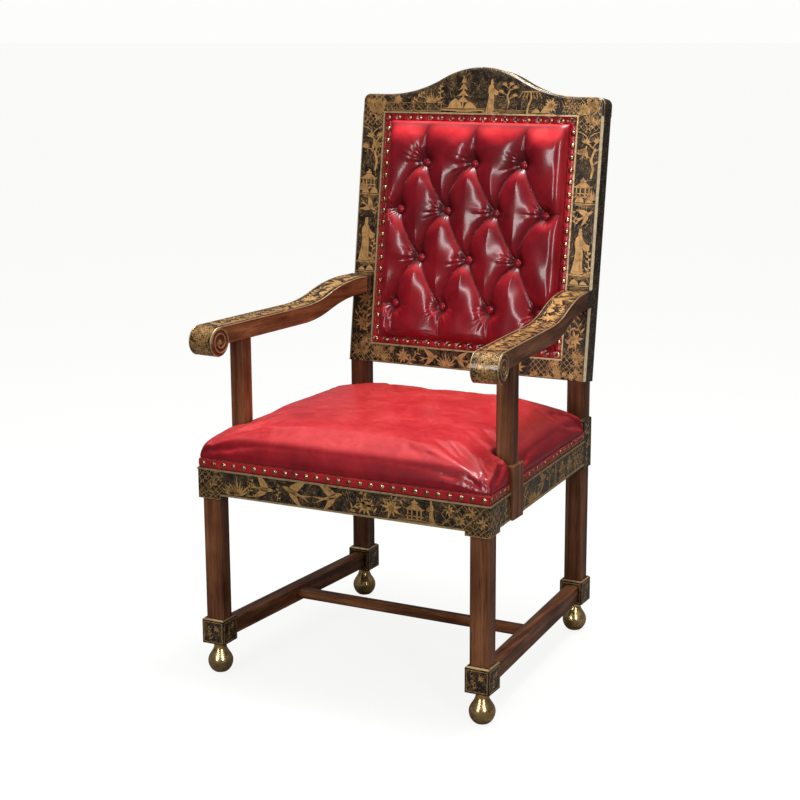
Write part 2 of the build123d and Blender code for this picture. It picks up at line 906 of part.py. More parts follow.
# Seat webbing over the tacking rails, lengthwise straps under crosswise ones
web_low = tacking_top
web_mid = web_low + webbing_thickness
web_high = web_mid + webbing_thickness
half_rear_web = rear_block_inner_x - soft_clearance
length_straps = []
for i in range(webbing_length_count):
    share = (i + 1 / 2) / webbing_length_count
    middle = half_rear_web * (2 * share - 1)
    strap = block(
        (middle - webbing_width / 2, middle + webbing_width / 2),
        (tack_front_y, seat_rear_y - tacking_setback),
        (web_low, web_mid),
    )
    length_straps.append(strap)
cross_straps = []
web_start = bracket_rear_y + webbing_width / 2
web_end = rear_block_front_y - webbing_width / 2
for i in range(webbing_cross_count):
    share = i / (webbing_cross_count - 1)
    y = web_start + (web_end - web_start) * share
    y0 = y - webbing_width / 2
    y1 = y + webbing_width / 2
    right = [(side_x(y0, tacking_setback), y0), (side_x(y1, tacking_setback), y1)]
    strap_plan = [(-a, b) for a, b in right] + [(a, b) for a, b in reversed(right)]
    cross_straps.append(slab(strap_plan, web_mid, web_high))
keep("seat_webbing", group(length_straps + cross_straps))


# Room that the brackets, arm posts and rear blocks take out of the upholstery
def seat_notches():
    x0 = bracket_inner_x - soft_clearance
    y0 = bracket_front_y - soft_clearance
    y1 = bracket_rear_y + soft_clearance
    top = rail_top_height + 2 * seat_crown_height
    side_room = block((x0, seat_front_width), (y0, y1), (rail_top_height, top))
    rear_room = block(
        (rear_block_inner_x - soft_clearance, seat_front_width),
        (rear_block_front_y - soft_clearance, 2 * seat_rear_y),
        (rail_top_height, top),
    )
    rooms = [side_room, rear_room]
    return rooms + [mirror(room, about=Plane.YZ) for room in rooms]


notches = seat_notches()


def notched(shape):
    """Takes the notches out of a piece of the seat's upholstery."""
    for notch in notches:
        shape = shape - notch
    return shape


hessian_top = web_high + hessian_thickness
keep("seat_hessian", notched(slab(tack_plan, web_high, hessian_top)))

# The over-stuffed seat: crowned, its sides drawn in to the border band
level_shares = (0.0, 0.3, 0.5, 0.7, 0.8, 0.88, 0.94, 0.98, 1.0)
side_reach_shares = (1.0, 1.0, 0.99, 0.94, 0.865, 0.745, 0.575, 0.36, 0.17)
front_reach_shares = (1.0, 1.0, 0.99, 0.965, 0.935, 0.88, 0.795, 0.66, 0.43)
rear_reach_shares = (1.0, 0.9, 0.81, 0.745, 0.72, 0.665, 0.58, 0.445, 0.3)
corner_round_shares = (0.015, 0.028, 0.116, 0.27, 0.333, 0.37, 0.36, 0.28, 0.13)


def seat_form(inset, base):
    """A crowned solid whose plan shrinks as it rises, set in by the inset all round."""
    middle_y = (seat_front_y + seat_rear_y) / 2
    half_length = seat_length / 2 - inset
    half_front = side_x(seat_front_y, inset)
    half_rear = side_x(seat_rear_y, inset)
    tilt = degrees(atan(seat_rear_lift / half_length))
    bulge_level = level_shares[1]
    sections = []
    rows = zip(
        level_shares,
        side_reach_shares,
        front_reach_shares,
        rear_reach_shares,
        corner_round_shares,
    )
    for level, side, front, rear, rounding in rows:
        z = rail_top_height + level * seat_crown_height - (inset if level else 0)
        z = max(z, base)
        x0 = half_front * side
        x1 = half_rear * side
        y0 = -half_length * front
        y1 = half_length * rear
        outline = flat([(-x0, y0), (x0, y0), (x1, y1), (-x1, y1)])
        outline = fillet(outline.vertices(), rounding * half_front)
        lift = max(0, level - bulge_level) / (1 - bulge_level)
        place = Pos(0, middle_y, z) * Rot(tilt * lift, 0, 0)
        sections.append(place * outline.face())
    return loft(sections, ruled=True)


band_outer_setback = tacking_setback - band_thickness
cover_base = rail_top_height + band_height + soft_clearance
outer_form = seat_form(band_outer_setback, cover_base)
inner_form = seat_form(band_outer_setback + leather_thickness, hessian_top)
under_cover = slab(seat_plan(tacking_setback, seat_rear_y - tacking_setback), 0, hessian_top)
keep("seat_stuffing", notched(inner_form))
keep("seat_cover", notched(outer_form - inner_form - under_cover))


# Border band of the seat, nailed to the tacking rails in straight strips
def band_strip(start, end):
    """A strip of leather between two points of the tacking rails' outer face."""
    (x0, y0), (x1, y1) = start, end
    length = hypot(x1 - x0, y1 - y0)
    band_top = rail_top_height + band_height
    strip = block((0, length), (-band_thickness, 0), (rail_top_height, band_top))
    turn = degrees(atan2(y1 - y0, x1 - x0))
    return Pos(x0, y0, 0) * Rot(0, 0, turn) * strip


def tack_point(y):
    return (side_x(y, tacking_setback), y)


front_band = band_strip((-tack_corner[0], tack_front_y), tack_corner)
band_side_front = (tack_point(tack_front_y), tack_point(bracket_front_y - soft_clearance))
band_side_rear = (
    tack_point(bracket_rear_y + soft_clearance),
    tack_point(rear_block_front_y - soft_clearance),
)
right_bands = [band_strip(*band_side_front), band_strip(*band_side_rear)]
left_bands = [mirror(s, about=Plane.YZ) for s in right_bands]
rear_edge_y = seat_rear_y - tacking_setback
rear_band_x = rear_block_inner_x - soft_clearance
rear_band = band_strip((rear_band_x, rear_edge_y), (-rear_band_x, rear_edge_y))
keep("seat_border_band", group([front_band, rear_band] + right_bands + left_bands))


# Brass dome nails
def make_dome(radius, height):
    """A shallow dome on the XY plane."""
    sphere_radius = (radius**2 + height**2) / (2 * height)
    slope = atan2(radius, sphere_radius - height) / 2
    middle = (sphere_radius * sin(slope), height - sphere_radius + sphere_radius * cos(slope))
    profile = (
        Line((0, 0), (radius, 0))
        + ThreePointArc((radius, 0), middle, (0, height))
        + Line((0, height), (0, 0))
    )
    return revolve(Plane.XZ * make_face(profile), axis=Axis.Z)


nail = make_dome(nail_radius, nail_dome)


def spaced(length, pitch):
    """Even places along a length, close to the pitch, with a margin at both ends."""
    run = length - 2 * nail_end_margin
    gaps = max(1, round(run / pitch))
    return [nail_end_margin + run * i / gaps for i in range(gaps + 1)]


def nails_on_band(start, end):
    """Nails along a strip of the seat's border band, facing out from it."""
    (x0, y0), (x1, y1) = start, end
    length = hypot(x1 - x0, y1 - y0)
    along = Vector((x1 - x0) / length, (y1 - y0) / length, 0)
    out = along.cross(Vector(0, 0, 1))
    z = rail_top_height + band_height / 2
    nails = []
    for s in spaced(length, seat_nail_pitch):
        spot = Vector(x0, y0, z) + along * s + out * band_thickness
        nails.append(Plane(origin=tuple(spot), x_dir=tuple(along), z_dir=tuple(out)) * nail)
    return nails


front_nails = nails_on_band((-tack_corner[0], tack_front_y), tack_corner)
rear_nails = nails_on_band((rear_band_x, rear_edge_y), (-rear_band_x, rear_edge_y))
right_nails = nails_on_band(*band_side_front) + nails_on_band(*band_side_rear)
left_nails = [mirror(s, about=Plane.YZ) for s in right_nails]
keep("seat_nails", group(front_nails + rear_nails + right_nails + left_nails))


# Back upholstery, in the back's own plane
def ring(half_width, low, high, width, back, front):
    """Four mitred lengths round an opening, each its own solid."""
    outer = [(-half_width, low), (half_width, low), (half_width, high), (-half_width, high)]
    inner = [
        (-half_width + width, low + width),
        (half_width - width, low + width),
        (half_width - width, high - width),
        (-half_width + width, high - width),
    ]
    lengths = []
    for i in range(4):
        j = (i + 1) % 4
        lengths.append(slab([outer[i], outer[j], inner[j], inner[i]], back, front))
    return lengths


opening = (opening_x, opening_low, opening_high)
strainer_front = -strainer_setback
strainer_back = strainer_front - strainer_depth
gilt_fillet = ring(*opening, fillet_width, strainer_front, fillet_proud)
strainer = ring(*opening, strainer_width, strainer_back, strainer_front)
keep("back_gilt_fillet", on_back(group(gilt_fillet)))
keep("back_strainer", on_back(group(strainer)))
band_x = opening_x - fillet_width
band_low = opening_low + fillet_width
band_high = opening_high - fillet_width
band_front = strainer_front + band_thickness
back_band = ring(band_x, band_low, band_high, back_band_width, strainer_front, band_front)
keep("back_border_band", on_back(group(back_band)))
inner_x = opening_x - strainer_width
inner_low = opening_low + strainer_width
inner_high = opening_high - strainer_width
web_back = strainer_front - back_web_setback
back_web = back_block(
    (-inner_x, inner_x), (inner_low, inner_high), (web_back, web_back + back_web_thickness)
)
keep("back_web", on_back(back_web))
back_stuffing = back_block(
    (-inner_x + soft_clearance, inner_x - soft_clearance),
    (inner_low + soft_clearance, inner_high - soft_clearance),
    (web_back + back_web_thickness, strainer_front),
)
keep("back_stuffing", on_back(back_stuffing))
outside_back = back_block(
    (-opening_x, opening_x),
    (opening_low, opening_high),
    (strainer_back - outside_cover_thickness, strainer_back),
)
keep("outside_back_cover", on_back(outside_back))

# Deep-buttoned pad: crowned diamonds between the buttons on a thin base, the
# outer ones cut off by the pad's edge
pad_x = band_x - back_band_width - soft_clearance
pad_low = band_low + back_band_width + soft_clearance
pad_high = band_high - back_band_width - soft_clearance
pad_rise_shares = (0.3, 0.62, 0.86, 1.0)
pad_width_shares = (1.0, 0.86, 0.64, 0.34)
pad_base_share = 0.3
pad_edge_share = 0.25
button_z = strainer_front + back_pad_height * pad_base_share
button_high = opening_high - button_top_margin
button_low = opening_low + button_bottom_margin
button_pitch_down = (button_high - button_low) / (button_rows - 1)
button_pitch_across = 2 * (opening_x - button_side_margin) / (button_columns - 1)


def button_places():
    """The buttons' centres, every other row with one button fewer."""
    places = []
    for row in range(button_rows):
        count = button_columns - 1 if row % 2 == 0 else button_columns
        up = button_high - row * button_pitch_down
        for i in range(count):
            places.append(((i - (count - 1) / 2) * button_pitch_across, up))
    return places


def pad_diamond(x, up):
    """One crowned diamond between four buttons."""
    sections = []
    for rise, width in zip(pad_rise_shares, pad_width_shares):
        a = button_pitch_across / 2 * width
        b = button_pitch_down * width
        z = strainer_front + back_pad_height * rise
        face = flat([(x + a, up), (x, up + b), (x - a, up), (x, up - b)])
        sections.append(Pos(0, 0, z) * face)
    return loft(sections, ruled=True)


def make_pad():
    pad = back_block((-pad_x, pad_x), (pad_low, pad_high), (strainer_front, button_z))
    for row in range(-1, button_rows + 1):
        up = button_high - row * button_pitch_down
        count = button_columns if row % 2 == 0 else button_columns + 1
        for i in range(count):
            x = (i - (count - 1) / 2) * button_pitch_across
            pad = pad + pad_diamond(x, up)
    draw = back_pad_height * pad_edge_share
    limits = []
    for z, inset in ((strainer_front, 0), (strainer_front + back_pad_height, draw)):
        x = pad_x - inset
        y0 = pad_low + inset
        y1 = pad_high - inset
        limits.append(Pos(0, 0, z) * flat([(-x, y0), (x, y0), (x, y1), (-x, y1)]))
    return pad & loft(limits, ruled=True)


pad = make_pad()
well = extrude(Circle(button_radius + soft_clearance), amount=back_pad_height)
for x, up in button_places():
    pad = pad - Pos(x, up, button_z) * well
keep("back_cushion", on_back(pad))

button = make_dome(button_radius, button_dome)
button_solids = [Pos(x, up, button_z) * button for x, up in button_places()]
keep("back_buttons", on_back(group(button_solids)))


def nails_round(half_width, low, high, z, facing):
    """Nails round a rectangle in the back's plane."""
    width = 2 * half_width
    height = high - low
    spots = []
    for s in spaced(width, back_nail_pitch):
        x = s - half_width
        spots = spots + [(x, low + nail_end_margin), (x, high - nail_end_margin)]
    for s in spaced(height, back_nail_pitch)[1:-1]:
        x = half_width - nail_end_margin
        spots = spots + [(-x, low + s), (x, low + s)]
    turned = nail if facing > 0 else Rot(180, 0, 0) * nail
    return [Pos(x, y, z) * turned for x, y in spots]


keep("back_nails", on_back(group(nails_round(band_x, band_low, band_high, band_front, 1))))
outside_face = strainer_back - outside_cover_thickness
outside_nails = nails_round(
    opening_x - outside_nail_inset / 2,
    opening_low + outside_nail_inset / 2,
    opening_high - outside_nail_inset / 2,
    outside_face,
    -1,
)
keep("outside_back_nails", on_back(group(outside_nails)))

# The origin is on the floor, at the middle of the chair's width and depth
boxes = [shape.bounding_box() for shape in chair.values()]
front_most = min(b.min.Y for b in boxes)
rear_most = max(b.max.Y for b in boxes)
highest = max(b.max.Z for b in boxes)
to_origin = Pos(0, -(front_most + rear_most) / 2, 0)
for name, shape in chair.items():
    export_step(to_origin * shape, "parts/" + name + ".step")
print(len(chair), "sub-parts, highest", highest, "front", front_most, "rear", rear_most)
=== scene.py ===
import math
import random

import bmesh
import bpy
import numpy as np
from mathutils import Matrix, Vector


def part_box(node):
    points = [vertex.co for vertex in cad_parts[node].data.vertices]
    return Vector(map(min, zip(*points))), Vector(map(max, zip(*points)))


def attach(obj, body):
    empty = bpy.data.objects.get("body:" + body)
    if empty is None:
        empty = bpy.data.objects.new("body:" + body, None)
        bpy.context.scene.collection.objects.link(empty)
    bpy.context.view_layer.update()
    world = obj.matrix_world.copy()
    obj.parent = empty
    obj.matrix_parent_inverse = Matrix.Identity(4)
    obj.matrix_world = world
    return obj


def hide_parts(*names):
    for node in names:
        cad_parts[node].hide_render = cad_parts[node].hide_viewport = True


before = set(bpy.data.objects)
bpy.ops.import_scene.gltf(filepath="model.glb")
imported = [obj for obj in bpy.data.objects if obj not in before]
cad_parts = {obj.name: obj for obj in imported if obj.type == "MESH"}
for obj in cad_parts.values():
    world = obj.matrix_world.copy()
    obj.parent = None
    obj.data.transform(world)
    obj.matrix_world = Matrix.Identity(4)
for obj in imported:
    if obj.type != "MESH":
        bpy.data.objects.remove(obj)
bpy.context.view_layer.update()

# Every length is in metres. The chair faces -Y, with the origin on the floor under
# its middle.
MM = 0.001

# Where the line of the front feet lies in this frame
FRONT_LINE_Y = (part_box("foot_front_right")[0].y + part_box("foot_front_right")[1].y) / 2

# Seat sizes, from the frame
RAIL_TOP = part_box("seat_rail_front")[1].z
RAIL_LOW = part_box("seat_rail_side_right")[0].z
RAIL_FRONT_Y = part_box("seat_rail_front")[0].y
SEAT_REAR_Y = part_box("seat_rail_rear")[1].y
RAIL_FRONT_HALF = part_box("seat_rail_front")[1].x
SIDE_SLANT = math.atan(31 * MM / (SEAT_REAR_Y - RAIL_FRONT_Y))
EAR_LENGTH = 50 * MM
EAR_DROP = 8.5 * MM
BEAD = 3.6 * MM
BAND_HEIGHT = 18 * MM
SEAT_CROWN = 99.9 * MM
SEAT_REAR_LIFT = 7.3 * MM
PLINTH_BEVEL = 3 * MM

# The back leans in its own plane: across, up the slope, and out towards the sitter
BACK_RAKE = math.radians(8.03)
BACK_FOOT_Y = FRONT_LINE_Y + 514.4 * MM
BACK_FOOT_Z = 539.4 * MM
BACK_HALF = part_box("back_stile_right")[1].x
STILE_WIDTH = 52.3 * MM
BACK_CORNER_UP = 573.7 * MM
CREST_RISE = 58 * MM
CREST_HALF_SPAN = 219 * MM
CREST_INFLEXION = 0.41
CREST_CORNER_RADIUS = 14 * MM
CREST_EDGE_ROUND = 9 * MM
OPENING_HALF = BACK_HALF - STILE_WIDTH
OPENING_LOW = 38.7 * MM
OPENING_HIGH = BACK_CORNER_UP - 37.3 * MM
FRAME_CHAMFER = 5 * MM
STRAINER_SETBACK = 6 * MM
FILLET_WIDTH = 3.4 * MM
BACK_BAND_WIDTH = 17 * MM
PAD_GAP = 0.3 * MM
PAD_HEIGHT = 22 * MM
BUTTON_PITCH_ACROSS = 111 * MM
BUTTON_PITCH_DOWN = 100 * MM
BUTTON_HIGH = OPENING_HIGH - 105 * MM
BUTTON_ROWS = 4

# Arms, in the arm's own straight line before it is splayed
ARM_FRONT_X = 294 * MM
ARM_REAR_X = 252.5 * MM
ARM_WIDTH = 52.4 * MM
NOSE_RADIUS = 28.2 * MM
NOSE_Y = 4 * MM
ARM_TOP = 692.5 * MM
ARM_RISE = 32.5 * MM
ARM_RISE_START = 282 * MM
ARM_RISE_SPAN = 210 * MM
ARM_INFLEXION = 0.457
ARM_REAR_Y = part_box("arm_right")[1].y - FRONT_LINE_Y
ARM_SPLAY = math.atan((ARM_FRONT_X - ARM_REAR_X) / ARM_REAR_Y)

rake_sin, rake_cos = math.sin(BACK_RAKE), math.cos(BACK_RAKE)
back_matrix = Matrix(
    (
        (1, 0, 0, 0),
        (0, rake_sin, -rake_cos, BACK_FOOT_Y),
        (0, rake_cos, rake_sin, BACK_FOOT_Z),
        (0, 0, 0, 1),
    )
)
splay = Matrix.Rotation(ARM_SPLAY, 4, "Z")
arm_matrix = Matrix.Translation((ARM_FRONT_X, FRONT_LINE_Y, 0)) @ splay
MIRROR = Matrix.Scale(-1, 4, (1, 0, 0))


# Finishes
class Nodes:
    """The node tree of a material or a world, built socket by socket."""

    def __init__(self, owner):
        owner.use_nodes = True
        self.tree = owner.node_tree

    def node(self, kind, inputs=(), **settings):
        """Adds a node, sets its settings, and links or sets its inputs."""
        made = self.tree.nodes.new("ShaderNode" + kind)
        for name, value in settings.items():
            setattr(made, name, value)
        for name, value in dict(inputs).items():
            self.give(made.inputs[name], value)
        return made

    def give(self, socket, value):
        """Links an output into a socket, or sets the socket's own value."""
        if isinstance(value, bpy.types.NodeSocket):
            self.tree.links.new(value, socket)
        else:
            socket.default_value = (*value, 1.0) if socket.type == "RGBA" else value

    def math(self, operation, a, b):
        return self.node("Math", {0: a, 1: b}, operation=operation).outputs["Value"]

    def show(self, lighting, seen, output):
        """One shader for the camera's eye and another for the light it gives."""
        eye = self.node("LightPath").outputs["Is Camera Ray"]
        mix = self.node("MixShader", {0: eye, 1: lighting.outputs[0], 2: seen.outputs[0]})
        self.tree.links.new(mix.outputs[0], self.tree.nodes[output].inputs["Surface"])


class Finish(Nodes):
    """A procedural material on object coordinates."""

    def __init__(self, name, **constants):
        self.material = bpy.data.materials.new(name)
        super().__init__(self.material)
        self.shader = self.tree.nodes["Principled BSDF"]
        self.set(**constants)
        self.place = self.node("TexCoord").outputs["Object"]

    def set(self, **sockets):
        for socket, value in sockets.items():
            self.give(self.shader.inputs[socket.replace("_", " ")], value)
        return self.material

    def stretch(self, scales, turn=(0, 0, 0)):
        """Object coordinates multiplied by these scales."""
        inputs = {"Vector": self.place, "Rotation": turn, "Scale": scales}
        return self.node("Mapping", inputs).outputs["Vector"]

    def noise(self, place, scale, detail=4.0, rough=0.5, twist=0.0):
        names = ("Vector", "Scale", "Detail", "Roughness", "Distortion")
        inputs = zip(names, (place, scale, detail, rough, twist))
        return self.node("TexNoise", inputs).outputs["Fac"]

    def level(self, value, low, high, out_low=0.0, out_high=1.0):
        """Eases low to high onto out_low to out_high, held at both ends."""
        names = ("Value", "From Min", "From Max", "To Min", "To Max")
        inputs = zip(names, (value, low, high, out_low, out_high))
        return self.node("MapRange", inputs, interpolation_type="SMOOTHSTEP").outputs["Result"]

    def mix(self, share, a, b, blend="MIX"):
        """Mixes two colours."""
        inputs = {0: share, 6: a, 7: b}
        return self.node("Mix", inputs, data_type="RGBA", blend_type=blend).outputs[2]

    def ramp(self, value, *stops):
        """Colours along a value, from stops of (place, red, green, blue)."""
        made = self.node("ValToRGB", {"Fac": value})
        elements = made.color_ramp.elements
        while len(elements) < len(stops):
            elements.new(0.5)
        for element, (place, *tone) in zip(elements, stops):
            element.position = place
            element.color = (*tone, 1.0)
        return made.outputs["Color"]

    def bump(self, height, distance, strength=1.0, **before):
        inputs = {"Height": height, "Distance": distance, "Strength": strength, **before}
        return self.node("Bump", inputs).outputs["Normal"]


def mahogany(name, grain):
    """French-polished mahogany with its grain along one axis: x, y or z."""
    finish = Finish(name, Coat_Weight=0.16, Coat_Roughness=0.16, IOR=1.4, Specular_IOR_Level=0.3)
    slow = finish.stretch([0.045 if axis == grain else 1.0 for axis in "xyz"])
    figure = finish.noise(slow, 75, 6, 0.55, 0.6)
    pores = finish.noise(slow, 620, 3, 0.6)
    cloud = finish.noise(finish.place, 9, 3)
    streak = finish.ramp(
        figure,
        (0.30, 0.055, 0.018, 0.007),
        (0.46, 0.140, 0.050, 0.019),
        (0.60, 0.245, 0.096, 0.039),
        (0.75, 0.345, 0.150, 0.064),
    )
    tone = finish.mix(finish.level(cloud, 0.35, 0.7), streak, (0.62, 0.50, 0.46), "MULTIPLY")
    pore = finish.level(pores, 0.34, 0.46, 1.0, 0.0)
    tone = finish.mix(finish.math("MULTIPLY", pore, 0.55), tone, (0.022, 0.008, 0.005))
    rough = finish.level(figure, 0.3, 0.7, 0.42, 0.30)
    normal = finish.bump(pores, 0.25 * MM, 0.25)
    return finish.set(Base_Color=tone, Roughness=rough, Normal=normal)


def gilding(name, bright, dark, shine):
    """Old gilding over gesso, rubbed darker in patches."""
    finish = Finish(name, Metallic=shine, IOR=1.5)
    worn = finish.noise(finish.place, 95, 6, 0.65)
    speckle = finish.noise(finish.place, 900, 3, 0.6)
    tone = finish.mix(finish.level(worn, 0.42, 0.72), bright, dark)
    tone = finish.mix(finish.level(speckle, 0.56, 0.68, 0.0, 0.45), tone, dark)
    rough = finish.level(worn, 0.35, 0.7, 0.30, 0.52)
    normal = finish.bump(speckle, 0.1 * MM, 0.35)
    return finish.set(Base_Color=tone, Roughness=rough, Normal=normal)


def scratch_lines(finish, turn, scale, tight):
    """Fine wavering lines in patches, one way across the lacquer."""
    place = finish.stretch((1, 1, 1), turn)
    inputs = {"Vector": place, "Scale": scale, "Distortion": 7.0, "Detail": 2.5, "Detail Scale": 2.5}
    wave = finish.node("TexWave", inputs).outputs["Fac"]
    patch = finish.level(finish.noise(place, 62, 4, 0.6), 0.49, 0.56)
    return finish.math("MULTIPLY", finish.level(wave, tight, 0.985), patch)


def japanning(name, hatch_share, gold_share):
    """Black-brown lacquer with a fine scratched gold hatch in patches."""
    finish = Finish(name, Coat_Weight=0.35, Coat_Roughness=0.1, IOR=1.5, Specular_IOR_Level=0.25)
    lines = scratch_lines(finish, (0.3, 0.6, 0.2), 88, 0.87)
    for turn, scale, tight in (((1.1, -0.4, 0.9), 120, 0.89), ((-0.7, 0.9, -0.5), 100, 0.88)):
        lines = finish.math("MAXIMUM", lines, scratch_lines(finish, turn, scale, tight))
    cloud = finish.noise(finish.place, 34, 5, 0.65)
    haze = finish.level(cloud, 0.48, 0.72, 0.0, gold_share)
    dark = finish.noise(finish.place, 60, 5, 0.6)
    ground = finish.ramp(dark, (0.35, 0.004, 0.003, 0.0025), (0.75, 0.022, 0.013, 0.008))
    dust = finish.noise(finish.place, 140, 4)
    gold = finish.ramp(dust, (0.3, 0.16, 0.085, 0.030), (0.7, 0.50, 0.31, 0.12))
    amount = finish.math("MULTIPLY", lines, hatch_share)
    tone = finish.mix(amount, finish.mix(haze, ground, gold), gold)
    rough = finish.math("ADD", finish.math("MULTIPLY", amount, 0.25), 0.24)
    relief = finish.math("ADD", lines, finish.math("MULTIPLY", cloud, 0.5))
    normal = finish.bump(relief, 0.12 * MM, 0.5)
    return finish.set(Base_Color=tone, Roughness=rough, Normal=normal)


def leather(name, deep, mid, bright, top_light_tones=None, crease_shade_share=0.0, folds=0.22):
    """Waxed leather, mottled; given top_light_tones, paler with painted top light where the mesh marks
    faces turned upwards; given crease_shade_share, darkened with painted shade in its hollows.
    """
    finish = Finish(
        name, Coat_Weight=0.8, Coat_Roughness=0.17, Coat_IOR=1.45, IOR=1.4, Specular_IOR_Level=0.2
    )
    cloud = finish.noise(finish.place, 7, 5, 0.6, 0.4)
    mottle = finish.noise(finish.stretch((1, 1.6, 1), (0, 0, 0.5)), 26, 7, 0.66, 0.8)
    cloud, spots = finish.math("MULTIPLY", cloud, 0.55), finish.math("MULTIPLY", mottle, 0.45)
    blend = finish.math("ADD", cloud, spots)
    tone = finish.ramp(blend, (0.36, *deep), (0.50, *mid), (0.66, *bright))
    # Painted top light: the "stretch" attribute marks faces turned upwards, which take these paler
    # tones
    if top_light_tones:
        amount = finish.node("Attribute", (), attribute_name="stretch").outputs["Fac"]
        stops = [(place, *shade) for place, shade in zip((0.34, 0.52, 0.70), top_light_tones)]
        tone = finish.mix(amount, tone, finish.ramp(blend, *stops))
    # Painted shade: darker towards near-black the lower the leather sits in its button wells and
    # creases
    if crease_shade_share:
        height = finish.node("Attribute", (), attribute_name="height").outputs["Fac"]
        low = finish.level(height, 0.12, 0.75, crease_shade_share, 0.0)
        tone = finish.mix(low, tone, (0.030, 0.002, 0.004))
    grain = finish.node("TexVoronoi", {"Vector": finish.place, "Scale": 620}).outputs["Distance"]
    fine = finish.noise(finish.place, 1500, 2)
    relief = finish.math("ADD", grain, finish.math("MULTIPLY", fine, 0.5))
    creases = finish.noise(finish.stretch((1, 1, 0.35), (0.2, 0.1, 0.4)), 42, 5, 0.6, 1.2)
    normal = finish.bump(relief, 0.10 * MM, 0.30, Normal=finish.bump(creases, 1.3 * MM, folds))
    rough = finish.level(mottle, 0.35, 0.7, 0.36, 0.48)
    return finish.set(Base_Color=tone, Roughness=rough, Normal=normal)


def old_metal(name, bright, dark):
    """Old lacquered metal, browner in random patches."""
    finish = Finish(name, Metallic=1.0)
    cloud = finish.noise(finish.place, 48, 5, 0.6)
    fine = finish.noise(finish.stretch((1, 1, 6)), 260, 4)
    tone = finish.mix(finish.level(cloud, 0.38, 0.68), bright, dark)
    rough = finish.level(fine, 0.35, 0.7, 0.16, 0.34)
    return finish.set(Base_Color=tone, Roughness=rough, Normal=finish.bump(fine, 0.05 * MM, 0.2))


def woven(name, thread, gap, pitch):
    """Plain-woven cloth seen on both faces."""
    finish = Finish(name, Roughness=0.9)
    inputs = {"Vector": finish.place, "Scale": 1 / pitch, "Distortion": 0.6}
    waves = [finish.node("TexWave", inputs, bands_direction=way).outputs["Fac"] for way in "XY"]
    weave = finish.math("MAXIMUM", *waves)
    tone = finish.mix(finish.level(weave, 0.2, 0.8), gap, thread)
    shade = finish.level(finish.noise(finish.place, 30, 4), 0.4, 0.7, 0.0, 0.3)
    tone = finish.mix(shade, tone, gap)
    return finish.set(Base_Color=tone, Normal=finish.bump(weave, 0.4 * MM, 0.6))


def plain_wood(name):
    """Unpolished beech inside the frame."""
    finish = Finish(name, Roughness=0.6)
    grain = finish.noise(finish.stretch((1, 0.08, 1)), 90, 5)
    tone = finish.ramp(grain, (0.35, 0.30, 0.17, 0.085), (0.65, 0.47, 0.30, 0.16))
    return finish.set(Base_Color=tone, Normal=finish.bump(grain, 0.3 * MM, 0.3))


upright_mahogany = mahogany("mahogany_upright", "z")
lengthways_mahogany = mahogany("mahogany_lengthways", "y")
crossways_mahogany = mahogany("mahogany_crossways", "x")
gold_paint = gilding("gold_paint", (0.60, 0.335, 0.115), (0.27, 0.13, 0.040), 0.35)
ink = gilding("ink", (0.010, 0.007, 0.005), (0.030, 0.018, 0.010), 0.0)
gilt_edge = gilding("gilt_edge", (0.62, 0.43, 0.22), (0.24, 0.145, 0.065), 0.7)
pale_gilt = gilding("pale_gilt", (0.82, 0.66, 0.42), (0.50, 0.36, 0.20), 0.25)
lacquer = japanning("japanned_ground", 0.50, 0.08)
nose_lacquer = japanning("japanned_nose", 0.95, 0.55)
# The last set of tones is painted top light, used on faces turned upwards
seat_leather = leather(
    "seat_leather",
    (0.165, 0.002, 0.006),
    (0.235, 0.003, 0.009),
    (0.31, 0.007, 0.014),
    ((0.36, 0.010, 0.016), (0.49, 0.024, 0.029), (0.60, 0.065, 0.066)),
)
# The paler set of tones is painted top light on the pad's upper roll; 0.8 is the share of painted shade
# in its hollows
back_leather = leather(
    "back_leather",
    (0.125, 0.001, 0.006),
    (0.190, 0.002, 0.009),
    (0.270, 0.005, 0.013),
    ((0.54, 0.010, 0.018), (0.74, 0.028, 0.036), (0.88, 0.080, 0.084)),
    0.8,
    0.08,
)
button_leather = leather(
    "button_leather", (0.20, 0.004, 0.012), (0.30, 0.006, 0.015), (0.40, 0.012, 0.022)
)
band_leather = leather(
    "band_leather", (0.22, 0.004, 0.010), (0.34, 0.007, 0.014), (0.48, 0.016, 0.024)
)
foot_brass = old_metal("foot_brass", (1.0, 0.72, 0.35), (0.68, 0.42, 0.16))
nail_brass = old_metal("nail_brass", (0.66, 0.46, 0.26), (0.28, 0.165, 0.08))
linen = woven("linen_webbing", (0.42, 0.34, 0.22), (0.14, 0.10, 0.06), 1.8 * MM)
sacking = woven("hessian", (0.36, 0.26, 0.14), (0.10, 0.07, 0.03), 2.4 * MM)
beech = plain_wood("beech")
steel = old_metal("screw_steel", (0.45, 0.44, 0.42), (0.20, 0.19, 0.18))


# Making pieces
def as_mesh(name, shape):
    """A mesh from a bmesh, which is let go."""
    mesh = bpy.data.meshes.new(name)
    shape.to_mesh(mesh)
    shape.free()
    return mesh


def in_scene(name, data):
    made = bpy.data.objects.new(name, data)
    bpy.context.scene.collection.objects.link(made)
    return made


def put(name, shape, material, slot, *replaces, smooth=True):
    """Turns a shape into a finished piece that rides on the chair."""
    mesh = shape if isinstance(shape, bpy.types.Mesh) else as_mesh(name, shape)
    piece = in_scene(name, mesh)
    mesh.materials.clear()
    mesh.materials.append(material)
    for face in mesh.polygons:
        face.use_smooth = smooth
    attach(piece, "root")
    if replaces:
        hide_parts(*replaces)
    return piece


def grid(shape, columns, rows=1):
    """Adds a grid; its corners come as (share along, share across, corner)."""
    made = bmesh.ops.create_grid(shape, x_segments=columns, y_segments=rows, size=1)
    for vert in made["verts"]:
        yield (vert.co.x + 1) / 2, (vert.co.y + 1) / 2, vert


